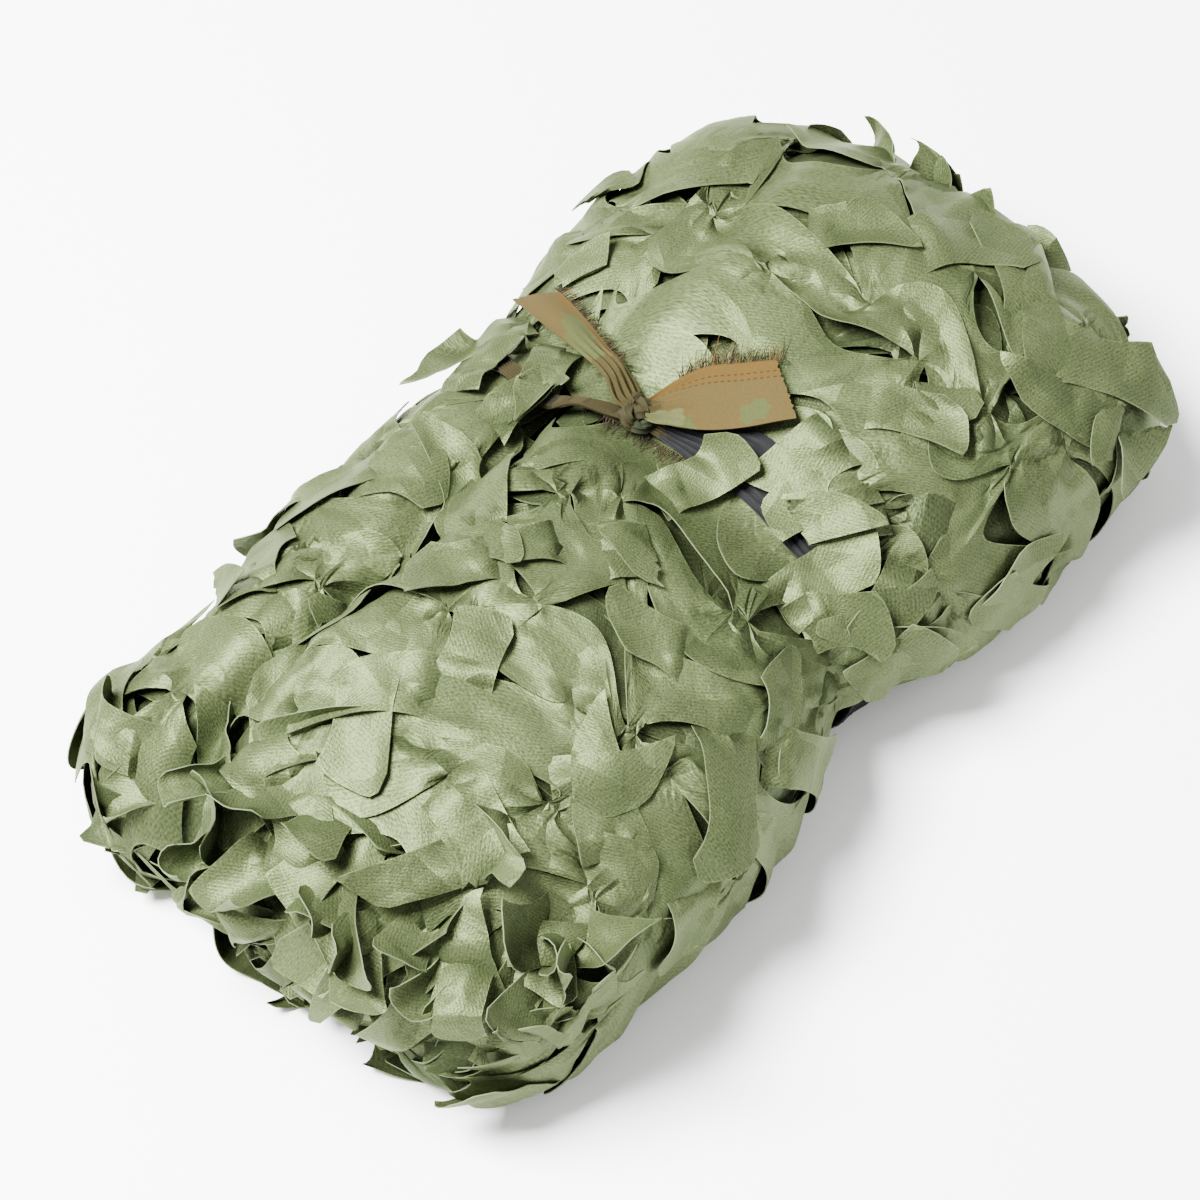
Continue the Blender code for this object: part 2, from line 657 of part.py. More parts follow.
def make_frays(material):
    """Threads on the right end's far edge, the upper end's right edge and the band's near part."""
    right = tail_rows("right")[FRAYED_FROM["right"]:]
    make_fray("right", [row[-1] for row in right], [row[-2] for row in right], material)
    upper = tail_rows("upper")[FRAYED_FROM["upper"]:]
    make_fray("upper", [row[0] for row in upper], [row[1] for row in upper], material)
    start, end = FRAYED_BAND
    near = [row for row in band_rows() if row[0][2] > SHOULDER and start < row[0][1] < end]
    lift = np.array([0, 0, BAND_THICK / 2])
    make_fray("band", [row[0] + lift for row in near], [row[1] + lift for row in near], material)


def main():
    clear_scene()
    make_net(cloth_material("net_green", (0.235, 0.315, 0.155), 0.5))
    make_tie(cloth_material("tie_print", (0.42, 0.26, 0.12), 0.75))
    make_frays(cloth_material("fray_thread", (0.16, 0.11, 0.045), 0.8))


main()
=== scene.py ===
import math

import bpy
import numpy as np
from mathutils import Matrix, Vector


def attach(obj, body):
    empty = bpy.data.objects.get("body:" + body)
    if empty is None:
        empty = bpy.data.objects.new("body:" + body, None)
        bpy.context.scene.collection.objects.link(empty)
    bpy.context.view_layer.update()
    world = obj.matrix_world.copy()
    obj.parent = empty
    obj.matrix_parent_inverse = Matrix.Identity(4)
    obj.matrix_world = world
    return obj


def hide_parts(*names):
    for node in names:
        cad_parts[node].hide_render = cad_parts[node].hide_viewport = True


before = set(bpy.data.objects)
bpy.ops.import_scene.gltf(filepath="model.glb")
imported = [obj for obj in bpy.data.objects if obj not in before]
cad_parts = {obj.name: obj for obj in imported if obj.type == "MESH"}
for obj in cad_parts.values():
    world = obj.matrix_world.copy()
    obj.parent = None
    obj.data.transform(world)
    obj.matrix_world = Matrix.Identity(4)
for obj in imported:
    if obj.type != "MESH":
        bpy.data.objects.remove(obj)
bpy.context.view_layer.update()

# ---------------------------------------------------------------- the net's outer plies
# The net is one sheet of satin polyester, die-cut in rows of hooked slits that leave leaf-shaped
# tongues. Its outer plies wrap the bundle from the lengthwise valley on top, over the far lobe, under
# and back over the near lobe. They lie loose: tongues slip in their bays, overlap, crease and lift.

mm = 0.001
TAU = 2 * math.pi
CENTRE = np.array((0.0020, -0.0087, 0.0))  # from the places in the tables to the frame's origin

WIDTH, HEIGHT, SHOULDER = 0.232, 0.100, 0.042
TOP_ROUNDNESS, FOOT_ROUNDNESS, FOOT_SINK = 2.6, 4.0, 0.003
SECTION_COLUMNS = ("x", "near", "far", "near_top", "far_top", "valley", "lift")
SECTIONS = np.array((
    (-0.198, 0.094, 0.094, 0.056, 0.046, 0.012, 0.0),
    (-0.174, 0.111, 0.104, 0.082, 0.066, 0.019, 0.0),
    (-0.130, 0.120, 0.104, 0.098, 0.079, 0.021, 0.0),
    (-0.070, 0.120, 0.103, 0.103, 0.085, 0.018, 0.0),
    (-0.015, 0.113, 0.104, 0.097, 0.085, 0.012, 0.0),
    (0.030, 0.100, 0.099, 0.081, 0.077, 0.003, 0.0066),
    (0.075, 0.118, 0.104, 0.096, 0.086, 0.007, 0.0),
    (0.125, 0.125, 0.106, 0.100, 0.091, 0.009, 0.0),
    (0.172, 0.122, 0.105, 0.091, 0.084, 0.006, 0.0),
    (0.198, 0.108, 0.095, 0.072, 0.067, 0.004, 0.0),
))
WAIST_X, WAIST_LEAN, WAIST_REACH = 0.030, 0.12, 0.060
END_BULGE, END_FROM, END_TO = 0.009, 0.12, 0.20
END_NOTCH, NOTCH_FROM = 0.016, 0.14
VALLEY_Y, VALLEY_REACH, LOBES_MEET = 0.052, 0.012, (-0.015, 0.012)
VALLEY_WANDER, WANDER_WAVE = 0.005, 38
UNEVEN_SIDE, SIDE_WAVES = 0.0018, (47, 14)
UNEVEN_TOP, TOP_WAVES = 0.0028, ((34, 21), (58, -30))
ROUND_FROM, END_ROUND = 0.186, 0.014  # where the surface begins to turn over the end, and how tightly


def smooth_step(value, start, end):
    """0 before start, 1 after end and 3tt - 2ttt in between."""
    t = np.clip((value - start) / (end - start), 0.0, 1.0)
    return t * t * (3 - 2 * t)


def curve_through(table, column, x):
    """A cubic Hermite curve through one column of a table, its slopes by finite differences."""
    places, values = table[:, 0], table[:, column]
    slopes = np.gradient(values, places)
    x = np.clip(x, places[0], places[-1])
    row = np.clip(np.searchsorted(places, x, side="right") - 1, 0, len(places) - 2)
    span = places[row + 1] - places[row]
    t = (x - places[row]) / span
    rise = values[row + 1] - values[row]
    bend_in = slopes[row] * span - rise
    bend_out = rise - slopes[row + 1] * span
    return values[row] + t * rise + t * (1 - t) * ((1 - t) * bend_in + t * bend_out)


def section(name, x):
    """One column of SECTIONS at a place along the bundle."""
    return curve_through(SECTIONS, SECTION_COLUMNS.index(name), x)


def shaped(x, y, z, inset=0.0):
    """A point of the plain bar, moved to its place in the bundle.

    Across and up it is stretched to the section's reaches and tops, less inset. The waist leans, the
    ends bulge, the crumpled end is notched between its lobes, and the valley is a bell-shaped trough.
    """
    x, y, z = np.broadcast_arrays(np.asarray(x, float), y, z)
    across, high = y / (WIDTH / 2), z / HEIGHT
    bulge = END_BULGE * np.sign(x) * (1 - across**2) * smooth_step(np.abs(x), END_FROM, END_TO)
    between_lobes = np.exp(-(((y - VALLEY_Y) / (2 * VALLEY_REACH)) ** 2))
    bulge = bulge + END_NOTCH * between_lobes * smooth_step(-x, NOTCH_FROM, END_TO)
    place = x
    x = x - WAIST_LEAN * y * np.exp(-(((x - WAIST_X) / WAIST_REACH) ** 2))
    uneven_side = UNEVEN_SIDE * np.sin(SIDE_WAVES[0] * x + 2.0 * np.sign(y) + SIDE_WAVES[1] * z)
    (long_x, long_y), (short_x, short_y) = TOP_WAVES
    uneven_top = UNEVEN_TOP * np.sin(long_x * x + long_y * y + 0.6) * np.cos(short_x * x + short_y * y)
    reach = np.where(across > 0, section("far", x), section("near", x)) - inset
    floor = np.maximum(section("lift", x), 0.0) + inset
    far_lobe = smooth_step(y, VALLEY_Y + LOBES_MEET[0], VALLEY_Y + LOBES_MEET[1])
    top = section("near_top", x) * (1 - far_lobe) + section("far_top", x) * far_lobe - inset
    valley = section("valley", x) * np.exp(-(((y - VALLEY_Y) / VALLEY_REACH) ** 2))
    wander = VALLEY_WANDER * np.sin(WANDER_WAVE * x + 0.5) * (1 - across**2) * high
    moved = np.stack([place + bulge, across * (reach + uneven_side) + wander,
                      floor + high * (top - floor) - valley * high**3 + uneven_top * high**2], axis=-1)
    return moved - CENTRE


def turned_over(x):
    """The place along the bundle and the inset of cloth that turns down over an end in a quarter circle."""
    past = np.maximum(np.abs(x) - ROUND_FROM, 0.0)
    turn = np.minimum(past / END_ROUND, math.pi / 2)
    along = np.sign(x) * (np.minimum(np.abs(x), ROUND_FROM) + END_ROUND * np.sin(turn))
    return along, END_ROUND * (1 - np.cos(turn)) + np.maximum(past - END_ROUND * math.pi / 2, 0.0)


def bar_point(angle):
    """The plain bar's section at an angle: a superellipse, rounder above the shoulder than below."""
    c, s = np.cos(angle), np.sin(angle)
    power = np.where(s >= 0, 2 / TOP_ROUNDNESS, 2 / FOOT_ROUNDNESS)
    reach = np.where(s >= 0, HEIGHT - SHOULDER, SHOULDER + FOOT_SINK)
    z = SHOULDER + reach * np.sign(s) * np.abs(s) ** power
    return WIDTH / 2 * np.sign(c) * np.abs(c) ** power, np.maximum(z, 0.0)


first_angle = math.acos((VALLEY_Y / (WIDTH / 2)) ** (TOP_ROUNDNESS / 2))
bar_angles = first_angle - np.linspace(0, TAU, 4001)
bar_way = np.concatenate([[0], np.cumsum(np.hypot(*np.diff(np.array(bar_point(bar_angles)), axis=1)))])
GIRTH = bar_way[-1]


def bundle(share, x):
    """The bundle's surface at a share of the way round from the valley and a place along it."""
    y, z = bar_point(np.interp(np.asarray(share, float) % 1.0, bar_way / GIRTH, bar_angles))
    along, inset = turned_over(np.asarray(x, float))
    return shaped(along, y, z, inset)


def unit(vectors):
    """Vectors at length one."""
    return vectors / np.maximum(np.linalg.norm(vectors, axis=-1, keepdims=True), 1e-12)


def unit_normal(surface, share, x, step=0.005):
    """The surface's unit normal, as the cross product of its two steps."""
    around = surface(share + step, x) - surface(share - step, x)
    along = surface(share, x + step) - surface(share, x - step)
    return unit(np.cross(along, around))


BAND_OVER = np.array((  # place across, the tie's place along the bundle there, half its width
    (-0.110, 0.030, 0.0080),
    (-0.058, 0.037, 0.0090),
    (-0.021, 0.045, 0.0105),
    (0.000, 0.041, 0.0080),
    (0.017, 0.035, 0.0050),
    (0.052, 0.025, 0.0050),
    (0.080, 0.032, 0.0065),
    (0.110, 0.040, 0.0075),
))
BAND_UNDER_X, BAND_UNDER_LEAN, BAND_UNDER_HALF = 0.028, 0.13, 0.0090
BAND_LOW = (0.010, 0.050)  # below this height the tie crosses the underside
PRESSED = (0.011, 0.032)  # cloth lies flat this close to the tie's middle, and is free from here on
UNDER_BAND = 0.8 * mm  # how far the tie presses it in
OFF_FLOOR = (0.003, 0.026)
TAILS_MIDDLE, TAIL_REACH, TAIL_SHADE = (0.052, 0.018), (0.026, 0.060), 0.30


def band_line(y, z):
    """The tie's middle and half its width, at a place across the bundle and a height."""
    low = 1 - smooth_step(z, *BAND_LOW)
    over_x, over_half = (curve_through(BAND_OVER, column, y) for column in (1, 2))
    middle = low * (BAND_UNDER_X + BAND_UNDER_LEAN * y) + (1 - low) * over_x
    return middle, low * BAND_UNDER_HALF + (1 - low) * over_half


def beside_band(place):
    """0 where the tie presses the cloth, 1 where it is free of it."""
    x, y, z = np.moveaxis(place + CENTRE, -1, 0)
    return smooth_step(np.abs(x - band_line(y, z)[0]), *PRESSED)


def freedom(place):
    """How freely cloth stands there: 0 under the tie and on the floor, low under the tie's free ends."""
    x, y, z = np.moveaxis(place + CENTRE, -1, 0)
    ends = smooth_step(np.hypot(x - TAILS_MIDDLE[0], y - TAILS_MIDDLE[1]), *TAIL_REACH)
    ends = np.where(z > SHOULDER, TAIL_SHADE + (1 - TAIL_SHADE) * ends, 1.0)
    return beside_band(place) * ends * smooth_step(z, *OFF_FLOOR)


def waves(places, length, seed, count=9):
    """Smooth unevenness from -1 to 1: sines of about that length in scattered directions."""
    draw = np.random.default_rng(seed)
    turn, phase = draw.uniform(0, TAU, (2, count))
    size = TAU / (length * draw.uniform(0.75, 1.35, count))
    total = 0.0
    for k in range(count):
        way = places[..., 0] * math.cos(turn[k]) + places[..., 1] * math.sin(turn[k])
        total = total + np.sin(way * size[k] + phase[k])
    return total / math.sqrt(count * 2.0)


def crumple(places, cell, turn, seed):
    """Flat facets that meet in sharp creases, from -1 to 1.

    Heights are drawn at the corners of a lattice of triangles and are linear between them. The lattice
    is turned and bent a little, and each cell's diagonal runs one way or the other.
    """
    draw = np.random.default_rng(seed)
    size = 61
    height = draw.uniform(-1, 1, (size, size))
    falls = draw.random((size, size)) < 0.5
    wander = np.stack([waves(places, 3.1 * cell, seed + 1, 4), waves(places, 2.7 * cell, seed + 2, 4)], -1)
    bent = places + 0.35 * cell * wander
    u = (bent[..., 0] * math.cos(turn) + bent[..., 1] * math.sin(turn)) / cell
    v = (bent[..., 1] * math.cos(turn) - bent[..., 0] * math.sin(turn)) / cell
    i, j = np.floor(u).astype(int), np.floor(v).astype(int)
    u, v = u - i, v - j
    fall = falls[i % size, j % size].astype(int)
    u = np.where(fall == 1, 1 - u, u)
    a, b = height[(i + fall) % size, j % size], height[(i + 1 - fall) % size, j % size]
    c, d = height[(i + fall) % size, (j + 1) % size], height[(i + 1 - fall) % size, (j + 1) % size]
    return np.where(u + v < 1, a + u * (b - a) + v * (c - a), d + (1 - u) * (c - d) + (1 - v) * (b - d))


def starred(places, bonds, reach, draw):
    """Facets that fan out from each bond: f(turn) (r/R) exp(1 - r/R), f linear between six scattered rays."""
    total = np.zeros(len(places))
    for bond in bonds:
        u, v = (places - bond).T
        near = np.flatnonzero(np.maximum(np.abs(u), np.abs(v)) < 4 * reach)
        rays = (np.arange(6) + draw.uniform(-0.33, 0.33, 6)) / 6
        tops = draw.uniform(0.4, 1.0, 6) * np.array([1, -1, 1, -1, 1, -1])
        turn = np.arctan2(v[near], u[near]) / TAU
        out = np.hypot(u[near], v[near]) / (reach * draw.uniform(0.7, 1.3))
        total[near] += np.interp(turn, rays, tops, period=1) * out * np.exp(1 - out)
    return total


def relax(points, groups, base, normal, low, high, rounds):
    """Settles cloth: edges go back to their lengths in turn, and every point stays between two heights.

    Each group is (one end, other end, length, strength), with no point twice in a group.
    """
    anchor = points.copy()
    for _ in range(rounds):
        for one, other, length, strength in groups:
            apart = points[other] - points[one]
            size = np.linalg.norm(apart, axis=1, keepdims=True)
            move = apart * (strength * 0.5 * (1 - length[:, None] / np.maximum(size, 1e-9)))
            points[one] += move
            points[other] -= move
        height = np.einsum("ij,ij->i", points - base, normal)
        wanted = np.clip(height, low, high)
        points += normal * (wanted - height)[:, None]
        points += 0.006 * (anchor - points)
    return points


GIRTH_OF = {"outer": GIRTH}


def slit_row(row, spec, draw):
    """One row of slits on the flat cloth, at every column: its line, bonds, and what each slit does.

    Between two bonds the line is a hyperbola: m times (sqrt(uu + RR) - E), u from the middle of the
    slit, so its legs are straight, its middle corner is round and the bonds are sharp. The rows' bonds
    alternate like bricks. A skew leans the hook, and each slit has its own depth m.
    """
    per_turn, turns, last = spec["per_turn"], spec["turns"], row in (0, spec["bands"])
    period = GIRTH_OF[spec["sheet"]] * (1 - 2 * spec["edge"]) / turns
    j = np.arange(turns * per_turn + 1)
    side = 1 if row % 2 else -1
    at = j - (0.25 if side > 0 else 0.75) * per_turn
    number = np.floor(at / per_turn).astype(int) + 1
    inside = at % per_turn
    bond = (inside <= spec["bond"] + 0.001) & (not last)
    along = np.clip((inside - spec["bond"]) / (per_turn - spec["bond"]), 0, 1)
    u = (along - 0.5) * period
    reach = math.hypot(period / 2, spec["round"])
    depth = draw.uniform(0.72, 1.12, turns + 2)[number] * spec["depth"]
    skew = draw.uniform(-0.30, 0.30, turns + 2)[number]
    drop = np.sqrt(u**2 + spec["round"] ** 2) - reach + skew * u * (1 - (2 * u / period) ** 2)
    x = (row - spec["middle"]) * spec["pitch"] + side * (0.5 * (reach - spec["round"]) + depth * drop)
    g = GIRTH_OF[spec["sheet"]] * spec["edge"] + j / per_turn * period
    # the whole pattern is drawn askew in places
    place = np.stack([g, x], -1)
    calm = smooth_step(j / per_turn, 0.0, 1.0) * smooth_step(turns - j / per_turn, 0.0, 1.0)
    seed = spec["seed"]
    askew = np.stack([calm * waves(place, 0.12, seed + 7), waves(place, 0.13, seed + 6)], -1)
    place = place + spec["askew"] * askew
    bow = np.where(bond, 0.0, np.sin(math.pi * along) ** 0.75) if not last else np.ones(len(j))
    to_bond = np.where(bond, 0.0, np.minimum(along, 1 - along) * period * 1.4)
    size = draw.random(turns + 2)
    lift = np.where(size < 0.60, 1.0 + 1.5 * draw.random(turns + 2), 2.5 + 3.0 * draw.random(turns + 2))
    lift = np.where(size > 0.92, 4.0 + 3.0 * draw.random(turns + 2), lift) * mm
    over = np.where(draw.random(turns + 2) < 0.78, 1.0, -1.0) * -side
    hinge = draw.uniform(9, 17, turns + 2) * mm
    slip = draw.normal(0, spec["slip"], (2, turns + 2, 2))
    return dict(place=place, bond=bond, bow=bow, to_bond=to_bond, lift=lift[number], over=over[number],
                hinge=hinge[number], slip=slip[:, number])


SLIDE_TURNS = (0.31, 0.27), (0.73, 0.61)  # how often a band's slide swings for each slit, round and along
UNHELD = 9.0  # further than cloth can go, where nothing holds it


def cut_bands(spec, rows, slides):
    """Each band's grid between two rows of slits: flat and moved places, rise, limits, edge and creasing.

    At the bonds a band moves by the mean of its own slide and its neighbour's, and between them by its
    own. At a distance d from a slit the upper lip rises by lift (1 - d/hinge); the lower stays below it.
    """
    bands, cells = spec["bands"], spec["cells"]
    shape = (bands, cells + 1, len(rows[0]["bond"]))
    part = np.linspace(0, 1, cells + 1)[:, None]
    flat, place = np.zeros((*shape, 2)), np.zeros((*shape, 2))
    rise, low, high, edge, own = (np.full(shape, start) for start in (0.0, -UNHELD, UNHELD, 1.0, 1.0))
    for band in range(bands):
        below = slides[max(band - 1, 0)]
        above = slides[min(band + 1, bands - 1)]
        moved = []
        for lip, other in ((0, below), (1, above)):
            bow = rows[band + lip]["bow"][:, None]
            moved.append(0.5 * (slides[band] + other) + bow**0.5 * 0.5 * (slides[band] - other))
        lines = rows[band]["place"], rows[band + 1]["place"]
        flat[band] = (1 - part)[..., None] * lines[0] + part[..., None] * lines[1]
        place[band] = flat[band] + (1 - part)[..., None] * moved[0] + part[..., None] * moved[1]
        width = np.linalg.norm(lines[1] - lines[0], axis=1) * 0.75
        for lip, away in ((0, part), (1, 1 - part)):
            row = rows[band + lip]
            d = away * width
            fall = np.clip(1 - d / row["hinge"], 0, 1)
            upper = np.clip(row["over"] * (1 if lip else -1), 0, 1)
            rise[band] += row["bow"] * (upper * row["lift"] * fall - (1 - upper) * 0.3 * mm * fall)
            place[band] += (row["bow"] * smooth_step(-d, -0.014, 0.0))[..., None] * row["slip"][lip]
            close = row["bow"] * smooth_step(-d, -0.013, -0.007)
            low[band] = np.maximum(low[band], np.where(upper > 0, 0.8 * mm * close - 0.4 * mm, -UNHELD))
            ceiling = np.minimum(high[band], 0.3 * mm + UNHELD * (1 - close))
            high[band] = np.where(upper > 0, high[band], ceiling)
            own[band] *= smooth_step(np.hypot(d, row["to_bond"]), 0.001, 0.009) * (1 - 0.6 * close)
            edge[band] = np.minimum(edge[band], np.where(row["bow"] > 0.02, d, 1.0))
    return flat, place, rise, low, high, edge, own


def join_bonds(rows, shape):
    """One number for each point, shared across the bonds, and the first grid place of each number."""
    index, count = np.zeros(shape, int), 0
    for band in range(shape[0]):
        fresh = np.ones(shape[1:], bool)
        fresh[0, rows[band]["bond"]] = band == 0
        numbers = np.cumsum(fresh.ravel()).reshape(shape[1:]) - 1 + count
        index[band] = np.where(fresh, numbers, index[band - 1, -1] if band else 0)
        count += int(fresh.sum())
    take = np.zeros(count, int)
    take[index.ravel()[::-1]] = np.arange(index.size)[::-1]
    return index, take


def cloth_edges(index, base, stiff):
    """Edges, spans of two cells and diagonals of the grid, in groups that share no point, with lengths."""
    groups = []
    for step, strength in ((1, 1.0), (2, stiff)):
        for first in range(2 * step):
            along = index[:, :, first:-step:2 * step], index[:, :, first + step::2 * step]
            across = index[:, first:-step:2 * step], index[:, first + step::2 * step]
            for a, b in (along, across):
                groups.append((a[:, :b.shape[1], :b.shape[2]], b, strength))
    for first in (0, 1):
        lower, upper = index[:, first:-1:2], index[:, first + 1::2]
        for a, b in ((lower[..., :-1], upper[..., 1:]), (lower[..., 1:], upper[..., :-1])):
            groups.append((a[:, :b.shape[1]], b, 0.5))
    measured = []
    for a, b, strength in groups:
        a, b = a.ravel(), b.ravel()
        keep = a != b
        a, b = a[keep], b[keep]
        measured.append((a, b, np.linalg.norm(base[b] - base[a], axis=1), strength))
    return measured


def leaf_ply(spec, surface):
    """A ply of the net, settled on a surface: its mesh, moved places, heights and rows of slits.

    Bands of cloth lie between rows of slits and meet only at the bonds. Each band slides by its own
    smooth amount and each tongue slips by its own, the upper lip of each slit hinges up, facets crease
    the cloth, and relax() lets it buckle where it is slack.
    """
    bands, girth, seed = spec["bands"], GIRTH_OF[spec["sheet"]], spec["seed"]
    draw = np.random.default_rng(seed)
    rows = [slit_row(row, spec, draw) for row in range(bands + 1)]
    t = np.arange(len(rows[0]["bond"])) / spec["per_turn"]
    phase = draw.uniform(0, TAU, (bands, 2, 2, 1))
    slow, quick = (TAU * np.array(turns)[:, None] * t for turns in SLIDE_TURNS)
    wave = np.sin(slow + phase[:, 0]) + 0.7 * np.sin(quick + phase[:, 1])
    slides = np.moveaxis(wave, 1, 2) * spec["slide"] * np.array([0.7, 1.0])
    grids = cut_bands(spec, rows, slides)
    shape = grids[-1].shape
    index, take = join_bonds(rows, shape)
    flat, place = (grid.reshape(-1, 2)[take] for grid in grids[:2])
    rise, low, high, edge, own = (grid.ravel()[take] for grid in grids[2:])
    # pillows run on from band to band, and fine creases are each band's own
    of_band = np.broadcast_to(np.arange(bands)[:, None, None], shape).ravel()[take][:, None]
    relief = spec["pillow"] * crumple(flat, 0.034, 0.3, seed + 20)
    relief = relief + 0.45 * spec["pillow"] * crumple(flat, 0.016, 1.0, seed + 30)
    fine = crumple(flat + 0.5 * of_band, 0.0125, 0.15, seed + 40)
    fine = fine + 0.35 * crumple(flat + 0.3 * of_band, 0.006, 0.7, seed + 50)
    relief = relief + own * spec["crease"] * fine
    bonds = np.concatenate([row["place"][np.flatnonzero(row["bond"])[::spec["bond"]]] for row in rows[1:-1]])
    relief = relief + spec["star"] * starred(flat, bonds, 0.0085, draw)
    # beyond the waist the near edge laps over the far one and closes the valley
    lap = spec["lap"] * smooth_step(place[:, 1], 0.020, 0.050) * smooth_step(place[:, 0], girth - 0.05, girth)
    place[:, 0] += lap
    # over the near lobe the cloth is drawn back from the crumpled end
    round_to = place[:, 0] / girth
    near_lobe = smooth_step(round_to, 0.60, 0.78) * (1 - smooth_step(round_to, 0.97, 1.0))
    place[:, 1] += spec["drawn_back"] * near_lobe * smooth_step(-place[:, 1], 0.05, 0.20)
    share, x = place[:, 0] / girth, place[:, 1]
    normal, ground = unit_normal(surface, share, x), surface(share, x)
    free = freedom(ground)
    pressed = UNDER_BAND * (1 - beside_band(ground))
    height = spec["height"] - pressed + (relief + 0.5 * spec["pillow"]) * free + 0.12 * lap
    base = ground + normal * height[:, None]
    points = base + normal * (rise * spec["lift"] * free)[:, None]
    low = np.maximum(low, -1.5 * mm) * free
    high = np.minimum(high, 0.3 * mm + 0.02 * free)
    high = np.maximum(high, low + 0.1 * mm)
    points = relax(points, cloth_edges(index, base, spec["stiff"]), base, normal, low, high, spec["rounds"])
    points[:, 2] = np.maximum(points[:, 2], 0.3 * mm)
    height = np.einsum("ij,ij->i", points - ground, normal)
    corners = index[:, :-1, :-1], index[:, 1:, :-1], index[:, 1:, 1:], index[:, :-1, 1:]
    nearest = np.argmin(((flat[:, None] - bonds[None]) ** 2).sum(-1), axis=1)
    fan = np.column_stack([flat - bonds[nearest], nearest])
    mesh = points, np.stack(corners, -1).reshape(-1, 4), flat, edge, fan
    return mesh, place, height, rows


CREASE_ANGLE = math.radians(45)  # facets that meet at more than this show a crisp crease


def in_scene(name, data):
    """An object for a mesh, a camera or a light, linked to the scene."""
    item = bpy.data.objects.new(name, data)
    bpy.context.scene.collection.objects.link(item)
    return item


def surface_piece(name, points, faces, flat=None, **marks):
    """A mesh object from point and face arrays, with a UV map of flat places and named point marks."""
    mesh = bpy.data.meshes.new(name)
    mesh.vertices.add(len(points))
    mesh.vertices.foreach_set("co", np.asarray(points, np.float32).ravel())
    mesh.loops.add(faces.size)
    mesh.loops.foreach_set("vertex_index", faces.astype(np.int32).ravel())
    mesh.polygons.add(len(faces))
    mesh.polygons.foreach_set("loop_start", np.arange(0, faces.size, faces.shape[1], dtype=np.int32))
    mesh.polygons.foreach_set("use_smooth", np.ones(len(faces), bool))
    mesh.update(calc_edges=True)
    if flat is not None:
        uv = mesh.uv_layers.new(name="flat")
        uv.data.foreach_set("uv", flat[faces.ravel()].astype(np.float32).ravel())
    for mark, values in marks.items():
        attribute = mesh.attributes.new(mark, "FLOAT", "POINT")
        attribute.data.foreach_set("value", np.asarray(values, np.float32))
    mesh.validate()
    mesh.set_sharp_from_angle(angle=CREASE_ANGLE)
    loop_edges = np.zeros(len(mesh.loops), np.int32)
    mesh.loops.foreach_get("edge_index", loop_edges)
    sharp = np.zeros(len(mesh.edges), bool)
    mark = mesh.attributes.get("sharp_edge") or mesh.attributes.new("sharp_edge", "BOOLEAN", "EDGE")
    mark.data.foreach_get("value", sharp)
    mark.data.foreach_set("value", sharp | (np.bincount(loop_edges, minlength=len(sharp)) == 1))
    return in_scene(name, mesh)


def give_thickness(item, thickness, rim=0):
    """Solidify, thin and even, its rim in its own material where one is given."""
    modifier = item.modifiers.new("thickness", "SOLIDIFY")
    modifier.thickness = thickness
    modifier.offset = 0.0
    modifier.material_offset_rim = rim


class Wire:
    """A node socket whose sums, products and powers add Math nodes."""

    tree = None

    def __init__(self, socket):
        self.socket = socket

    @staticmethod
    def node(kind, settings=(), **inputs):
        """Adds a node: its settings first, then the values or wires of its sockets by name or number."""
        made = Wire.tree.nodes.new(kind)
        for key, value in dict(settings).items():
            if key == "stops":
                ramp = made.color_ramp
                while len(ramp.elements) < len(value):
                    ramp.elements.new(0.5)
                for element, (position, colour) in zip(ramp.elements, value):
                    element.position = position
                    element.color = (*colour, 1.0)
            else:
                setattr(made, key, value)
        for key, value in inputs.items():
            name = key.replace("_", " ")
            socket = made.inputs[int(key[1:])] if key[0] == "n" and key[1:].isdigit() else made.inputs[name]
            if isinstance(value, Wire):
                Wire.tree.links.new(value.socket, socket)
            elif hasattr(value, "__len__") and len(value) == 3 and socket.type == "RGBA":
                socket.default_value = (*value, 1.0)
            else:
                socket.default_value = value
        return made

    @staticmethod
    def out(kind, settings=(), port=0, **inputs):
        """Adds a node in the same way, and is a wire from one of its outputs."""
        return Wire(Wire.node(kind, settings, **inputs).outputs[port])

    @staticmethod
    def maths(operation, *values):
        """One Math node on wires or numbers."""
        inputs = {f"n{k}": value for k, value in enumerate(values)}
        return Wire.out("ShaderNodeMath", {"operation": operation}, **inputs)

    def __add__(self, other):
        return Wire.maths("ADD", self, other)

    def __sub__(self, other):
        return Wire.maths("SUBTRACT", self, other)

    def __mul__(self, other):
        return Wire.maths("MULTIPLY", self, other)

    def __truediv__(self, other):
        return Wire.maths("DIVIDE", self, other)

    def __radd__(self, other):
        return Wire.maths("ADD", other, self)

    def __rsub__(self, other):
        return Wire.maths("SUBTRACT", other, self)

    def step(self, start, end):
        """0 below start, 1 above end, smooth in between."""
        return Wire.out("ShaderNodeMapRange", {"interpolation_type": "SMOOTHSTEP"}, n0=self, n1=start, n2=end)


def new_material(name, **shader_values):
    """A material whose Principled shader gets its constants; further nodes are added through Wire."""
    material = bpy.data.materials.new(name)
    material.use_nodes = True
    Wire.tree = material.node_tree
    shader = material.node_tree.nodes["Principled BSDF"]
    for key, value in shader_values.items():
        socket = shader.inputs[key.replace("_", " ")]
        socket.default_value = (*value, 1.0) if socket.type == "RGBA" and len(value) == 3 else value
    return material, shader


def mixed(one, other, share):
    """Two colours mixed by a share."""
    return Wire.out("ShaderNodeMix", {"data_type": "RGBA"}, port=2, n0=share, n6=one, n7=other)


def vector(operation, *values):
    """One Vector Math node that gives a vector."""
    inputs = {f"n{k}": value for k, value in enumerate(values)}
    return Wire.out("ShaderNodeVectorMath", {"operation": operation}, **inputs)


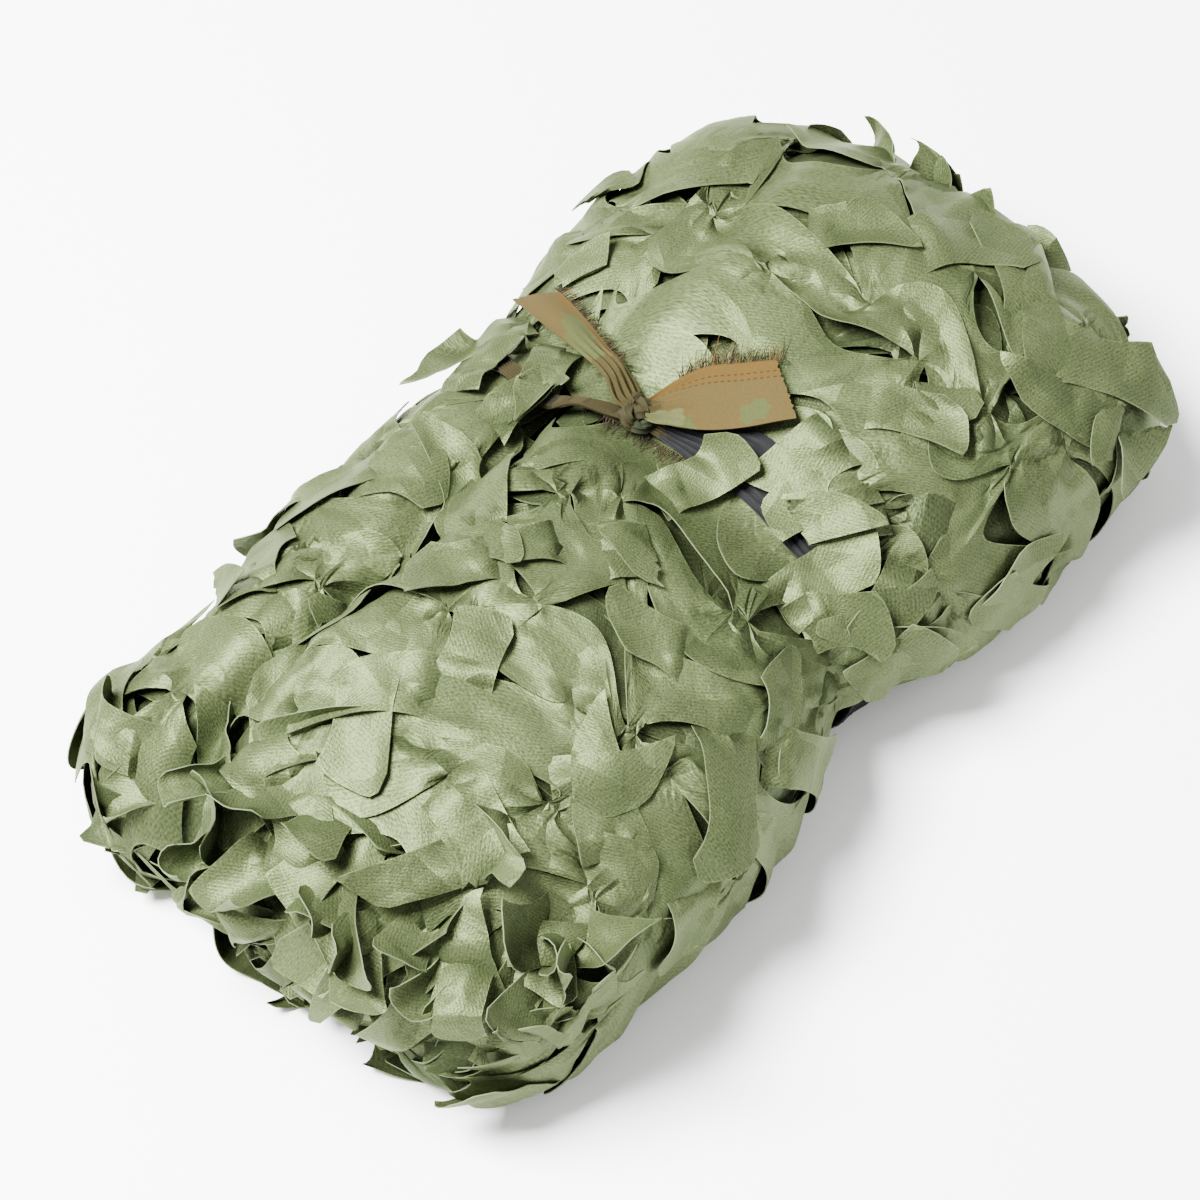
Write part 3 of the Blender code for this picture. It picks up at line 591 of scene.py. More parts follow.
def scaled(colour, share):
    """A colour times a share."""
    return Wire.out("ShaderNodeVectorMath", {"operation": "SCALE"}, n0=colour, n3=share)


def noise(place, scale, detail, port=0):
    """A noise over a place, as a share, or as a colour from port 1."""
    return Wire.out("ShaderNodeTexNoise", port=port, n0=place, n2=scale, n3=detail)


def point_mark(name):
    """One of the mesh's point marks."""
    return Wire.out("ShaderNodeAttribute", {"attribute_name": name}, port=2)


def flat_cloth():
    """The place on the flat cloth, and its two coordinates."""
    flat = Wire.out("ShaderNodeUVMap", {"uv_map": "flat"})
    split = Wire.node("ShaderNodeSeparateXYZ", n0=flat)
    return flat, Wire(split.outputs[0]), Wire(split.outputs[1])


def link(wire, shader, socket):
    """Joins a wire to a socket of the shader."""
    Wire.tree.links.new(wire.socket, shader.inputs[socket])


RIB = 0.00125
TWILL_TURN, TWILL_FINE = (0.62, 0.78), (1500.0, 1150.0)  # the rib's slant, and its threads a metre
PALE_FRAY_AND_HIGHLIGHT = (0.11, 0.14, 0.052)
FLATS, LEAN = 62.0, 0.24  # pressed flats to a metre, and how far they lean the normal
FAN_REACH, FAN_HEIGHT, FAN_FADE = 0.0080, 1.5 * mm, (0.0085, 0.0130)
SATIN = dict(Metallic=0.50, Specular_IOR_Level=0.30, Specular_Tint=(0.60, 0.72, 0.42))


def satin_green(name, tone):
    """Woven satin: rib times tone, with a paler line along each cut edge (its frayed fibres and a painted
    highlight), a painted sheen that differs from leaf to leaf, creases and pressed flats.

    The rib is a stretched noise and a sine across it. Near each bond three rays to a turn swell as
    (r/R) exp(1 - r/R), long folds are a cell pattern, and each flat leans the normal its own way.
    """
    material, shader = new_material(name, **SATIN)
    flat, u, v = flat_cloth()
    c, s = TWILL_TURN
    across, down = u * c + v * s, v * c - u * s
    twill = Wire.out("ShaderNodeCombineXYZ", n0=across * TWILL_FINE[0], n1=down * TWILL_FINE[1])
    rib = (noise(twill, 1.0, 1.0) - 0.5) * 1.7 + Wire.maths("SINE", across * (TAU / RIB)) * 0.12
    cloud, streak = noise(flat, 26.0, 3.0), noise(flat, 420.0, 2.0)
    base = mixed((tone[0] * 0.80, tone[1] * 0.82, tone[2] * 0.78), tone, cloud.step(0.3, 0.72))
    number = point_mark("fan_number")
    # each bond's patch and each leaf is painted a little lighter or darker at random: painted sheen, for the
    # satin catching light differently as its weave turns
    painted_sheen = Wire.out("ShaderNodeTexWhiteNoise", {"noise_dimensions": "1D"}, n1=number)
    shade = rib + (streak - 0.5) * 0.25 + (painted_sheen - 0.5) * 0.20 + 1.0
    # a thin paler line along each cut edge, broken by the streaks: partly the frayed fibres' own colour,
    # partly a painted highlight where the edge catches light
    pale = (1 - point_mark("edge").step(0.0001, 0.00055)) * streak.step(0.38, 0.55)
    link(mixed(scaled(base, shade), PALE_FRAY_AND_HIGHLIGHT, pale * 0.45), shader, "Base Color")
    link(0.48 + cloud * 0.06, shader, "Roughness")
    grain = Wire.out("ShaderNodeBump", n0=0.40, n1=0.0003, n3=rib + streak)
    # crisp creases that fan out from each bond, and a few long faint ones
    fan_u, fan_v, near = (point_mark(name) for name in ("fan_u", "fan_v", "fan_near"))
    out = Wire.maths("SQRT", fan_u * fan_u + fan_v * fan_v)
    turn = Wire.maths("ARCTAN2", fan_v, fan_u)
    turn = turn + Wire.maths("SINE", turn + number * 2.3) * 0.45
    rays = Wire.maths("PINGPONG", turn * (3 / TAU) + number * 0.37, 0.5) * 4.0 - 1.0
    swell = out / FAN_REACH * Wire.maths("EXPONENT", 1 - out / FAN_REACH) * near
    long_folds = Wire.out("ShaderNodeTexVoronoi", {"distance": "MANHATTAN", "voronoi_dimensions": "2D"},
                          Vector=flat, Scale=30.0)
    folds = rays * swell * FAN_HEIGHT + long_folds * 0.0022
    crease = Wire.out("ShaderNodeBump", n0=1.0, n1=1.0, n3=folds, Normal=grain)
    # pressed flats between them: in each cell of a slightly warped pattern the cloth leans one way
    place = vector("MULTIPLY_ADD", noise(flat, 60.0, 1.0, port=1), (0.006, 0.006, 0.0), flat)
    cell = Wire.out("ShaderNodeTexVoronoi", {"voronoi_dimensions": "2D"}, port=1, Vector=place, Scale=FLATS)
    lean = vector("MULTIPLY_ADD", cell, (LEAN, LEAN, LEAN), (-LEAN / 2, -LEAN / 2, -LEAN / 2))
    link(vector("NORMALIZE", vector("ADD", crease, lean)), shader, "Normal")
    return material


net_green = satin_green("net_satin", (0.0515, 0.0652, 0.0270))
# the same satin painted about 0.6 as dark: painted shade for the plies that lie under the outer one
net_painted_shade = satin_green("net_satin_painted_shade", (0.0300, 0.0385, 0.0160))
# guessed duller
SHADE_PAINTED_PLIES = ("net_under", "net_third", "net_inner_left", "net_inner_right")  # these plies get the same satin painted darker: painted shade between the plies
net_cut, _ = new_material("net_cut_edge", Base_Color=(0.060, 0.078, 0.030), Roughness=0.8)
NET_THICK = 0.4 * mm


def net_piece(name, points, faces, flat, edge, fan):
    """A ply or leaves of the net: 0.4 mm thick, in satin with pale rims, riding on the bundle."""
    near = 1 - smooth_step(np.hypot(fan[:, 0], fan[:, 1]), *FAN_FADE)
    piece = surface_piece(name, points, faces, flat, edge=edge, fan_u=fan[:, 0], fan_v=fan[:, 1],
                          fan_number=fan[:, 2], fan_near=near)
    # the under and inner plies take the darker satin, which is painted shade
    piece.data.materials.append(net_painted_shade if name in SHADE_PAINTED_PLIES else net_green)
    piece.data.materials.append(net_cut)
    give_thickness(piece, NET_THICK, rim=1)
    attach(piece, "root")
    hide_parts("net")
    return piece


# sizes in metres; turns are slits round the sheet, and per_turn the cells to each slit
OUTER = dict(sheet="outer", seed=11, bands=12, middle=6.0, cells=13, turns=11, per_turn=24, bond=2,
             pitch=0.0328, round=0.0085, depth=1.0, edge=0.006, askew=0.009, slide=0.0082, slip=0.0045,
             height=0.0, drawn_back=0.026, pillow=1.9 * mm, crease=1.4 * mm, star=1.3 * mm, lift=1.0,
             lap=0.020, stiff=0.10, rounds=4)
UNDER = dict(OUTER, bond=1, lift=0.6, lap=0.0)
PLIES = {
    "net_outer": OUTER,
    "net_under": dict(UNDER, seed=23, cells=8, per_turn=16, height=-4.2 * mm, crease=1.2 * mm),
    "net_third": dict(UNDER, seed=31, cells=7, per_turn=14, height=-8.0 * mm, middle=6.3, drawn_back=0.008),
}
plies = {}
for name, spec in PLIES.items():
    plies[name] = leaf_ply(spec, bundle)
    piece = net_piece(name, *plies[name][0])

# ---------------------------------------------------------------- the inner plies
# Inside the outer plies the same sheet is folded back and forth in seven layers. They show at both
# ends, where their leaf-cut edges stand out unevenly, ruffled and curled.

LEVELS, LEVEL_GAP, CORE_INSET = 7, 0.0026, 0.005
LEVEL_THICK = (HEIGHT - (LEVELS - 1) * LEVEL_GAP) / LEVELS


def bar_half(z):
    """Half the plain bar's width at a height."""
    upper = z >= SHOULDER
    reach = np.where(upper, HEIGHT - SHOULDER, SHOULDER + FOOT_SINK)
    power = np.where(upper, TOP_ROUNDNESS, FOOT_ROUNDNESS)
    share = np.clip(np.abs(z - SHOULDER) / reach, 0, 1)
    return WIDTH / 2 * (1 - share**power) ** (1 / power)


# each layer of the folded sheet holds several thicknesses of cloth; its two faces show at the ends
layer_floors = (LEVEL_THICK + LEVEL_GAP) * np.arange(LEVELS)
levels = np.sort(np.concatenate([LEVEL_THICK * face + layer_floors for face in (0.12, 0.86)]))
zigzag = []
for level, z in enumerate(levels):
    way = np.linspace(-1, 1, 40) * (1 if level % 2 else -1)
    zigzag.append(np.stack([way * (bar_half(z) - LEVEL_THICK / 3), z + 0 * way], -1))
zigzag = np.concatenate(zigzag)
zigzag_way = np.concatenate([[0], np.cumsum(np.linalg.norm(np.diff(zigzag, axis=0), axis=1))])
GIRTH_OF["inner"] = zigzag_way[-1]


def folded_core(share, x):
    """The zigzag of inner plies at a share of its length, shaped as the bundle is."""
    at = np.clip(share, 0, 1) * zigzag_way[-1]
    y, z = np.interp(at, zigzag_way, zigzag[:, 0]), np.interp(at, zigzag_way, zigzag[:, 1])
    return shaped(x, y, z, CORE_INSET)


INNER = dict(OUTER, sheet="inner", pitch=0.0246, bands=2, cells=6, turns=54, per_turn=12, bond=1,
             pillow=2.6 * mm, crease=1.8 * mm, lift=0.7, lap=0.0, slide=0.004, slip=0.004, edge=0.0,
             drawn_back=0.0)
for name, seed, middle in (("net_inner_left", 41, 7.4), ("net_inner_right", 43, -5.6)):
    piece = net_piece(name, *leaf_ply(dict(INNER, seed=seed, middle=middle), folded_core)[0])

# ---------------------------------------------------------------- the loose leaves
# Tongues of the folded plies that have come through the slits and lie over their neighbours, some
# curled or folded back on themselves.

LEAF_ROWS, LEAF_CELLS = 15, 8
LEAF_WAY = np.linspace(0, 1, LEAF_ROWS)[None, :, None]  # shares of a leaf's length and of its half width
LEAF_SIDE = np.linspace(-1, 1, LEAF_CELLS + 1)[None, None, :]
LEAF_APART = 0.7  # each leaf has its own stretch of the UV map
MAP_CELL, MAP_HALF = 0.002, 0.23
LOWEST = 0.3 * mm  # no cloth lies lower than this on the floor


def ply_top(place, height, reach):
    """The outer ply's height as a map over the flat cloth: the highest within reach, then evened out."""
    size = int(GIRTH / MAP_CELL) + 1, int(2 * MAP_HALF / MAP_CELL)
    top = np.full(size, -1.0)
    cell = np.floor(np.stack([place[:, 0] / MAP_CELL, (place[:, 1] + MAP_HALF) / MAP_CELL])).astype(int)
    cell = np.clip(cell, 0, np.array(size)[:, None] - 1)
    np.maximum.at(top, tuple(cell), height)
    for _ in range(reach):
        for axis in (0, 1):
            top = np.maximum(top, np.maximum(np.roll(top, 1, axis), np.roll(top, -1, axis)))
    top = np.maximum(top, -2 * mm)
    for _ in range(2 * reach):
        for axis in (0, 1):
            top = 0.5 * top + 0.25 * (np.roll(top, 1, axis) + np.roll(top, -1, axis))
    return top


def read_map(top, place):
    """The map between its cells, linear both ways."""
    u = np.clip(place[..., 0] / MAP_CELL - 0.5, 0, top.shape[0] - 1.001)
    v = np.clip((place[..., 1] + MAP_HALF) / MAP_CELL - 0.5, 0, top.shape[1] - 1.001)
    i, j = u.astype(int), v.astype(int)
    u, v = u - i, v - j
    near = top[i, j] * (1 - v) + top[i, j + 1] * v
    return near * (1 - u) + (top[i + 1, j] * (1 - v) + top[i + 1, j + 1] * v) * u


def tongue(s, v, length, half, skew, bend):
    """A tongue's flat shape: along and across it, from its root, at shares s of its length, v of its width.

    Its sides are drawn in a little between root and tip and it bends to one side as s squared. Its end
    is cut askew, with one corner sharp and the other rounded off as a fourth power.
    """
    end = 1 + skew * v - 0.24 * np.clip(v, 0, 1) ** 4 - 0.06 * np.clip(-v, 0, 1) ** 4
    along = s * length * (1 + (end - 1) * s)
    across = v * half * (1 - 0.16 * np.sin(math.pi * s)) + bend * s**2
    return along, across


def leaf_edge(s, v, length, half):
    """Roughly how far a point of a leaf is from its cut edge."""
    return np.minimum((1 - np.abs(v)) * half, (1 - s) * length) + 0 * s * v


def drawn(draw, count, low, high):
    """One number for each leaf, drawn evenly between two limits."""
    return draw.uniform(low, high, count)[:, None, None]


def own_cloth(along, across):
    """Each leaf's flat grid, on its own stretch of the UV map."""
    return np.stack([along + LEAF_APART * np.arange(len(along))[:, None, None], across], -1)


def laid_leaves(roots, turns, draw, top, clear, bridge=0.0):
    """Leaves laid on the outer ply from their roots, each along its own turn on the flat cloth.

    A leaf rises out of its slit, follows the map of what lies below, hinges up towards its tip, curls
    across, and about one in five is folded back on itself. Bridging leaves pass over the tie at that height.
    """
    count, s, v = len(roots), LEAF_WAY, LEAF_SIDE
    length, half = drawn(draw, count, 0.030, 0.052), drawn(draw, count, 0.0105, 0.0140)
    bend, skew = drawn(draw, count, -0.009, 0.009), drawn(draw, count, -0.30, 0.30)
    hand = np.where(draw.random(count) < 0.5, 1, -1)[:, None, None]
    folded = np.where(draw.random(count) < 0.22, draw.uniform(0.55, 0.8, count), 2.0)[:, None, None]
    g, w = tongue(s, v, length, half, skew, bend)
    w = w * hand
    doubled = smooth_step(s, folded - 0.05, folded + 0.08)
    leaf = own_cloth(g, w)
    g = np.where(g < folded * length, g, 2 * folded * length - g)
    c, d = np.cos(turns)[:, None, None], np.sin(turns)[:, None, None]
    place = np.stack([roots[:, 0, None, None] + g * c - w * d, roots[:, 1, None, None] + g * d + w * c], -1)
    curl, rise = drawn(draw, count, -0.6, 2.2) * mm, drawn(draw, count, 0, 1) ** 3 * 8 * mm
    hinge = drawn(draw, count, 0.35, 0.7)
    height = clear + read_map(top, place) + curl * v**2 * smooth_step(s, 0.1, 0.6)
    height = height + rise * np.clip((s - hinge) / (1 - hinge), 0, 1)
    sunk = 3.5 * mm * (1 - smooth_step(s, 0.0, 0.2))
    height = height + 1.3 * mm * crumple(leaf, 0.012, 0.5, 91) + doubled * 1.3 * mm - sunk
    ground = bundle(place[..., 0] / GIRTH, place[..., 1])
    normal = unit_normal(bundle, place[..., 0] / GIRTH, place[..., 1])
    free = 1.0 if bridge else 0.25 + 0.75 * freedom(ground)
    height = height + bridge * (1 - beside_band(ground))
    points = ground + normal * (height * free + 0.4 * mm)[..., None]
    points[..., 2] = np.maximum(points[..., 2], LOWEST)
    return points, leaf, leaf_edge(s, v, length, half)


def grid_faces(rows, columns, closed=False):
    """Four-sided faces over a grid of points, row by row; closed joins the last row to the first."""
    number = np.arange(rows * columns).reshape(rows, columns)
    if closed:
        number = np.concatenate([number, number[:1]])
    corners = (number[:-1, :-1], number[1:, :-1], number[1:, 1:], number[:-1, 1:])
    return np.stack(corners, -1).reshape(-1, 4)


def leaf_mesh(points, leaf, edge):
    """Many leaves as one mesh: their grids one after the other."""
    count, rows, columns = points.shape[:3]
    number = np.arange(count)[:, None, None]
    faces = grid_faces(rows, columns)[None] + rows * columns * number
    fan = np.stack([leaf[..., 0] - LEAF_APART * number, leaf[..., 1], number + 0 * leaf[..., 0]], -1)
    edge = np.broadcast_to(edge, points.shape[:3])
    return points.reshape(-1, 3), faces.reshape(-1, 4), leaf.reshape(-1, 2), edge.ravel(), fan.reshape(-1, 3)


def leaf_area(leaf):
    """The leaves' flat area: over their cells, the sum of half the cross product of the diagonals."""
    one = leaf[:, 1:, 1:] - leaf[:, :-1, :-1]
    other = leaf[:, 1:, :-1] - leaf[:, :-1, 1:]
    return 0.5 * np.abs(one[..., 0] * other[..., 1] - one[..., 1] * other[..., 0]).sum()


def sprung_leaves(roots, ahead, above, draw, length, curl):
    """Leaves that stand free of the bundle, each from its root, ahead along its own way.

    A leaf bends by an angle that grows with the way along it, twists a little, and its width is
    rolled into an arc. The spine is the running sum of the turned steps.
    """
    count, s, v = len(roots), LEAF_WAY, LEAF_SIDE
    length, half = drawn(draw, count, *length), drawn(draw, count, 0.0100, 0.0145)
    skew, bend = drawn(draw, count, -0.22, 0.22), drawn(draw, count, -0.008, 0.008)
    g, w = tongue(s, v, length, half, skew, bend)
    leaf = own_cloth(g, w)
    w = w * np.where(draw.random(count) < 0.5, 1, -1)[:, None, None]
    turn, twist = drawn(draw, count, -2.0, 1.3) * (g / length) ** 1.3, drawn(draw, count, -0.6, 0.6) * s
    roll = drawn(draw, count, *curl) * drawn(draw, count, 0, 1)
    ahead, above = ahead[:, None, None], above[:, None, None]
    beside = np.cross(ahead, above)
    heading = ahead * np.cos(turn)[..., None] + above * np.sin(turn)[..., None]
    facing = above * np.cos(turn)[..., None] - ahead * np.sin(turn)[..., None]
    side = beside * np.cos(twist)[..., None] + facing * np.sin(twist)[..., None]
    facing = facing * np.cos(twist)[..., None] - beside * np.sin(twist)[..., None]
    step = np.diff(g, axis=1, prepend=0)
    spine = np.cumsum(heading * step[..., None], axis=1)
    angle = roll * w / half * smooth_step(s, 0.0, 0.5) + 1e-6
    flat_part, lifted = np.sin(angle) / angle * w, (1 - np.cos(angle)) / angle * w
    lifted = lifted + drawn(draw, count, -0.5, 0.5) * np.abs(w + 2 * mm) * smooth_step(s, 0.0, 0.3)
    lifted = lifted + 2.8 * mm * crumple(leaf, 0.013, 0.5, 93) * smooth_step(s, 0.0, 0.2)
    points = roots[:, None, None] + spine + side * flat_part[..., None] + facing * lifted[..., None]
    points[..., 2] = np.maximum(points[..., 2], 0.4 * mm)
    return points, leaf, leaf_edge(s, v, length, half)


_, place, height, rows = plies["net_outer"]
draw = np.random.default_rng(101)
top = ply_top(place, height, 2)
slit_middles = np.concatenate([
    row["place"][(row["bow"] > 0.985) & (np.diff(row["bow"], prepend=0) > 0)] for row in rows[1:-1]])
LEAVES_AT = 0.45  # of the slits' middles
picked = slit_middles[draw.random(len(slit_middles)) < LEAVES_AT]
turns = math.pi / 4 + draw.integers(0, 4, len(picked)) * math.pi / 2 + draw.normal(0, 0.25, len(picked))
under_tie = freedom(bundle(picked[:, 0] / GIRTH, picked[:, 1])) < 0.25
picked, turns = picked[~under_tie], turns[~under_tie]
grown = laid_leaves(picked + draw.normal(0, 0.004, picked.shape), turns, draw, top, 0.5 * mm)
# none lies half over the tie
clear_of_tie = beside_band(grown[0]).min(axis=(1, 2)) > 0.25
grown = [values[clear_of_tie] for values in grown]
leaf_groups = [(net_piece("net_leaves", *leaf_mesh(*grown)), grown)]


def way_round(y, near):
    """How far round the flat cloth a place across the top is, over the near or the far lobe."""
    share = np.linspace(0.665, 1.0, 300) if near else np.linspace(0.0, 0.22, 300)
    return np.interp(y, bundle(share, 0.035)[:, 1], share) * GIRTH


# leaves that hide the tie: place across, over the near lobe or not, root to the tie's middle, and turn
OVER_TIE = (
    (-0.0984, True, 0.024, 0.2), (-0.0980, True, -0.026, 0.1), (-0.0930, True, 0.024, 0.1),
    (-0.0925, True, -0.026, 0.2), (-0.084, True, 0.020, -0.4), (-0.078, True, -0.026, 0.5),
    (-0.068, True, -0.028, 0.15), (-0.062, True, 0.024, 0.45), (-0.050, True, 0.027, 0.3),
    (-0.034, True, 0.030, 0.2), (-0.003, True, -0.035, 0.50),
    (0.068, False, -0.024, 0.2), (0.072, False, 0.024, -0.3), (0.088, False, -0.022, -0.3),
    (0.094, False, 0.024, 0.4), (0.106, False, 0.022, 0.1), (0.104, False, -0.024, 0.5),
)
y, near_lobe, apart, lean = (np.array(column) for column in zip(*OVER_TIE))
g = np.where(near_lobe, way_round(y, True), way_round(y, False))
roots = np.stack([g, band_line(y + CENTRE[1], 0.09)[0] + apart], -1)
draw = np.random.default_rng(307)
grown = laid_leaves(roots, -np.sign(apart) * math.pi / 2 + lean, draw, top, 0.8 * mm, bridge=5.8 * mm)
leaf_groups.append((net_piece("net_leaves_over_tie", *leaf_mesh(*grown)), grown))


HIGHEST, HELD_DOWN = 0.104, 0.7  # above this height leaves are pressed down by this share
PLAN, OUT_SOFT = np.array((0.208, 0.117)), 0.040  # leaves past this rounded plan are squeezed in
UNDERCUT, UNDERCUT_SLOPE = 0.185, 0.487  # the plan's half length at the floor, and its growth with height
ON_LOBES, EVERY_FAR = 0.65, 6  # the share of hung leaves on the lobes; one in so many is on the far one


def face_roots(count, out, hang, draw):
    """Roots scattered over an end's face, the way each leaf lies on it, and how far it tilts out.

    Hung leaves lie downwards, and their roots are drawn in near the floor.
    """
    z = draw.uniform(0.006, 0.088, count)
    y = draw.uniform(-1, 1, count) * (bar_half(z) - 0.010)
    inward = draw.uniform(0.0, 0.014, count)
    inward = inward + np.maximum(0.020 - UNDERCUT_SLOPE * z, 0) * hang
    roots = shaped(out * (0.192 - inward), y, z, CORE_INSET)
    swirl = draw.normal(-math.pi / 2, 0.9, count) if hang else draw.uniform(0, TAU, count)
    tilt = draw.normal(0.35, 0.35, count) if hang else draw.normal(1.1, 0.3, count)
    return roots, np.stack([0 * swirl, np.cos(swirl), np.sin(swirl)], -1), tilt


def lobe_roots(count, draw):
    """Roots on the lobes behind the crumpled end, the way each leaf lies, about downwards, and outwards."""
    far = np.arange(count) % EVERY_FAR == 0
    share = np.where(far, draw.uniform(0.03, 0.20, count), draw.uniform(0.66, 0.985, count))
    x = -draw.uniform(0.140, 0.188, count) - 0.030 * np.where(share < 0.5, 1, smooth_step(share, 0.90, 0.985))
    square = unit_normal(bundle, share, x)
    roots = bundle(share, x) - square * 4 * mm
    aside = unit(np.cross(square, np.array([1.0, 0.0, 0.0])))
    spread = draw.normal(0, 1.3, count)[:, None]
    along = np.cross(aside, square)
    along = -np.sign(along[:, :1]) * along * np.cos(spread) + aside * np.sin(spread)
    return roots, along, square


def end_leaves(count, out, hang, draw, length, curl):
    """Leaves over an end: hung down over its face and the lobes behind it, or splayed out of it.

    The plan is |x/a|^4 + |y/b|^4 = 1; past it a leaf's distance d is squeezed to S tanh(d/S).
    """
    roots, face, tilt = face_roots(count, out, hang, draw)
    outward = np.array([[out, 0.0, 0.0]])
    if hang:
        on_lobes = (np.arange(count) < ON_LOBES * count)[:, None]
        pairs = zip(lobe_roots(count, draw), (roots, face, outward))
        roots, face, outward = (np.where(on_lobes, lobe, end) for lobe, end in pairs)
    ahead = outward * np.sin(tilt)[:, None] + face * np.cos(tilt)[:, None]
    above = outward * np.cos(tilt)[:, None] - face * np.sin(tilt)[:, None]
    points, leaf, edge = sprung_leaves(roots, ahead, above, draw, length, curl)
    long = np.minimum(PLAN[0], UNDERCUT + UNDERCUT_SLOPE * points[..., 2]) if hang else PLAN[0]
    round_plan = ((points[..., 0] / long) ** 4 + (points[..., 1] / PLAN[1]) ** 4) ** 0.25
    over = np.maximum(round_plan - 1, 0)
    points[..., :2] *= ((1 + OUT_SOFT * np.tanh(over / OUT_SOFT)) / np.maximum(round_plan, 1))[..., None]
    points[..., 2] -= np.maximum(points[..., 2] - HIGHEST, 0) * HELD_DOWN
    return points, leaf, edge


# how many leaves, which way out, hung or not, seed, lengths and how far they roll
ENDS = {
    "net_crumpled_end": (125, -1, True, 229, (0.028, 0.050), (-2.3, 2.3)),
    "net_rolled_end": (46, 1, False, 223, (0.018, 0.032), (-1.6, 1.6)),
}
for name, (count, out, hang, seed, length, curl) in ENDS.items():
    grown = end_leaves(count, out, hang, np.random.default_rng(seed), length, curl)
    leaf_groups.append((net_piece(name, *leaf_mesh(*grown)), grown))

LEAF_WIDTH = 0.0245  # a strip width; each group's flat leaf area is divided by it below, and the result is not used
for piece, (_, leaf, _) in leaf_groups:
    leaf_area(leaf) / LEAF_WIDTH

# ---------------------------------------------------------------- the tie's band
# One torn strip of printed cotton drawn tight round the waist. Tension has gathered it into sharp
# lengthwise pleats; it spreads flat only beside the knot. It lies straight on the net.

BAND_CLEARANCE, STRIP_THICK = 1.4 * mm, 0.5 * mm
PLEATS, STRIP_WIDTH, BUNCHED = 6.5, 0.029, 0.35


def raised(share, x, height):
    """A point at a height square to the bundle's surface."""
    return bundle(share, x) + unit_normal(bundle, share, x) * np.asarray(height)[..., None]


def make_band(stations=300, cells=52):
    """The strip round the waist, gathered: a zigzag of pleats across it that wander to and fro along it.

    Their depth is what lays the strip's flat width out along the zigzag over the gathered width: the
    root of the flat width squared less the gathered one squared, over twice the number of pleats.
    """
    share = np.arange(stations)[:, None] / stations
    side = np.linspace(-1, 1, cells + 1)[None, :]
    ground = bundle(share, BAND_UNDER_X) + CENTRE
    middle, half = band_line(ground[..., 1], ground[..., 2])
    wander = 0.5 * np.sin(TAU * 7 * share + 1) + 0.35 * np.sin(TAU * 17 * share)
    pleat = 2 / math.pi * np.arcsin(np.abs(np.sin(math.pi * PLEATS / 2 * side + wander)))
    bunched = smooth_step(-half, -0.010, -0.005)
    width = 2 * half * (1 - BUNCHED * bunched)
    depth = np.sqrt(STRIP_WIDTH**2 - width**2) / (2 * PLEATS)
    height = BAND_CLEARANCE + depth * pleat
    height = height + 0.25 * mm * np.sin(TAU * 23 * share + 2 * side)
    edge = 0.4 * mm * np.sin(TAU * 13 * share) * side
    points = raised(share + 0 * side, middle + side * width / 2 + edge, height)
    flat = np.stack([share * GIRTH + 0 * side, side * STRIP_WIDTH / 2 + 0 * share], -1)
    return points, flat


points, flat = make_band()
band_faces = grid_faces(*points.shape[:2], closed=True)
band = surface_piece("tie_band", points.reshape(-1, 3), band_faces, flat.reshape(-1, 2))
give_thickness(band, STRIP_THICK)

TAN, PALE_GREEN, SEAM = (0.042, 0.029, 0.0068), (0.033, 0.039, 0.0105), (0.049, 0.028, 0.0042)
BARK, CHARCOAL, OLIVE = (0.012, 0.0088, 0.003), (0.0075, 0.0075, 0.0083), (0.011, 0.015, 0.006)
KHAKI, DUSK = (0.026, 0.021, 0.0052), (0.017, 0.0135, 0.0036)
WARP, PATCH_SOFT = 0.014, 0.0005  # how far a patch's outline wanders, and half the blur of its edge
HEM_FROM, HEM_TO, STITCH_LINES, STITCH = 0.0060, 0.0066, (0.0062, 0.0092), 0.0024
WARP_THREAD, WEFT_THREAD = 0.00062, 0.00055


def woodland(name, ground, patches, stitched=False):
    """Plain-woven cotton with soft-edged woodland patches: each a disc whose place a slow noise warps.

    The weave is the product of two sines. A stitched cloth has a paler hem with two dashed seams.
    """
    material, shader = new_material(name, Specular_IOR_Level=0.15)
    flat, u, v = flat_cloth()
    shifted = vector("MULTIPLY_ADD", noise(flat, 110.0, 2.0, port=1), (WARP, WARP, 0.0), flat)
    colour = ground
    for along, across, radius, patch in patches:
        middle = (along + WARP / 2, across + WARP / 2, 0.0)
        away = Wire.out("ShaderNodeVectorMath", {"operation": "DISTANCE"}, port=1, n0=shifted, n1=middle)
        colour = mixed(patch, colour, away.step(radius - PATCH_SOFT, radius + PATCH_SOFT))
    if stitched:
        colour = mixed(colour, SEAM, v.step(HEM_FROM, HEM_TO))
        for line in STITCH_LINES:
            on_line = 1 - Wire.maths("ABSOLUTE", v - line).step(0.0002, 0.0005)
            dash = on_line * Wire.maths("SINE", u * (TAU / STITCH)).step(-0.3, 0.1)
            colour = mixed(colour, BARK, dash * 0.85)
    weave = Wire.maths("SINE", u * (TAU / WARP_THREAD)) * Wire.maths("SINE", v * (TAU / WEFT_THREAD))
    grain = noise(flat, 900.0, 2.0)
    link(scaled(colour, weave * 0.08 + grain * 0.50 + 0.75), shader, "Base Color")
    link(0.78 + grain * 0.15, shader, "Roughness")
    link(Wire.out("ShaderNodeBump", n0=0.5, n1=0.0003, n3=weave * 0.5 + grain), shader, "Normal")
    return material


def tie_piece(piece, material, node):
    """Gives a piece of the tie its cloth or yarn, and lets it ride on the bundle in its node's place."""
    piece.data.materials.append(material)
    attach(piece, "root")
    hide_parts(node)


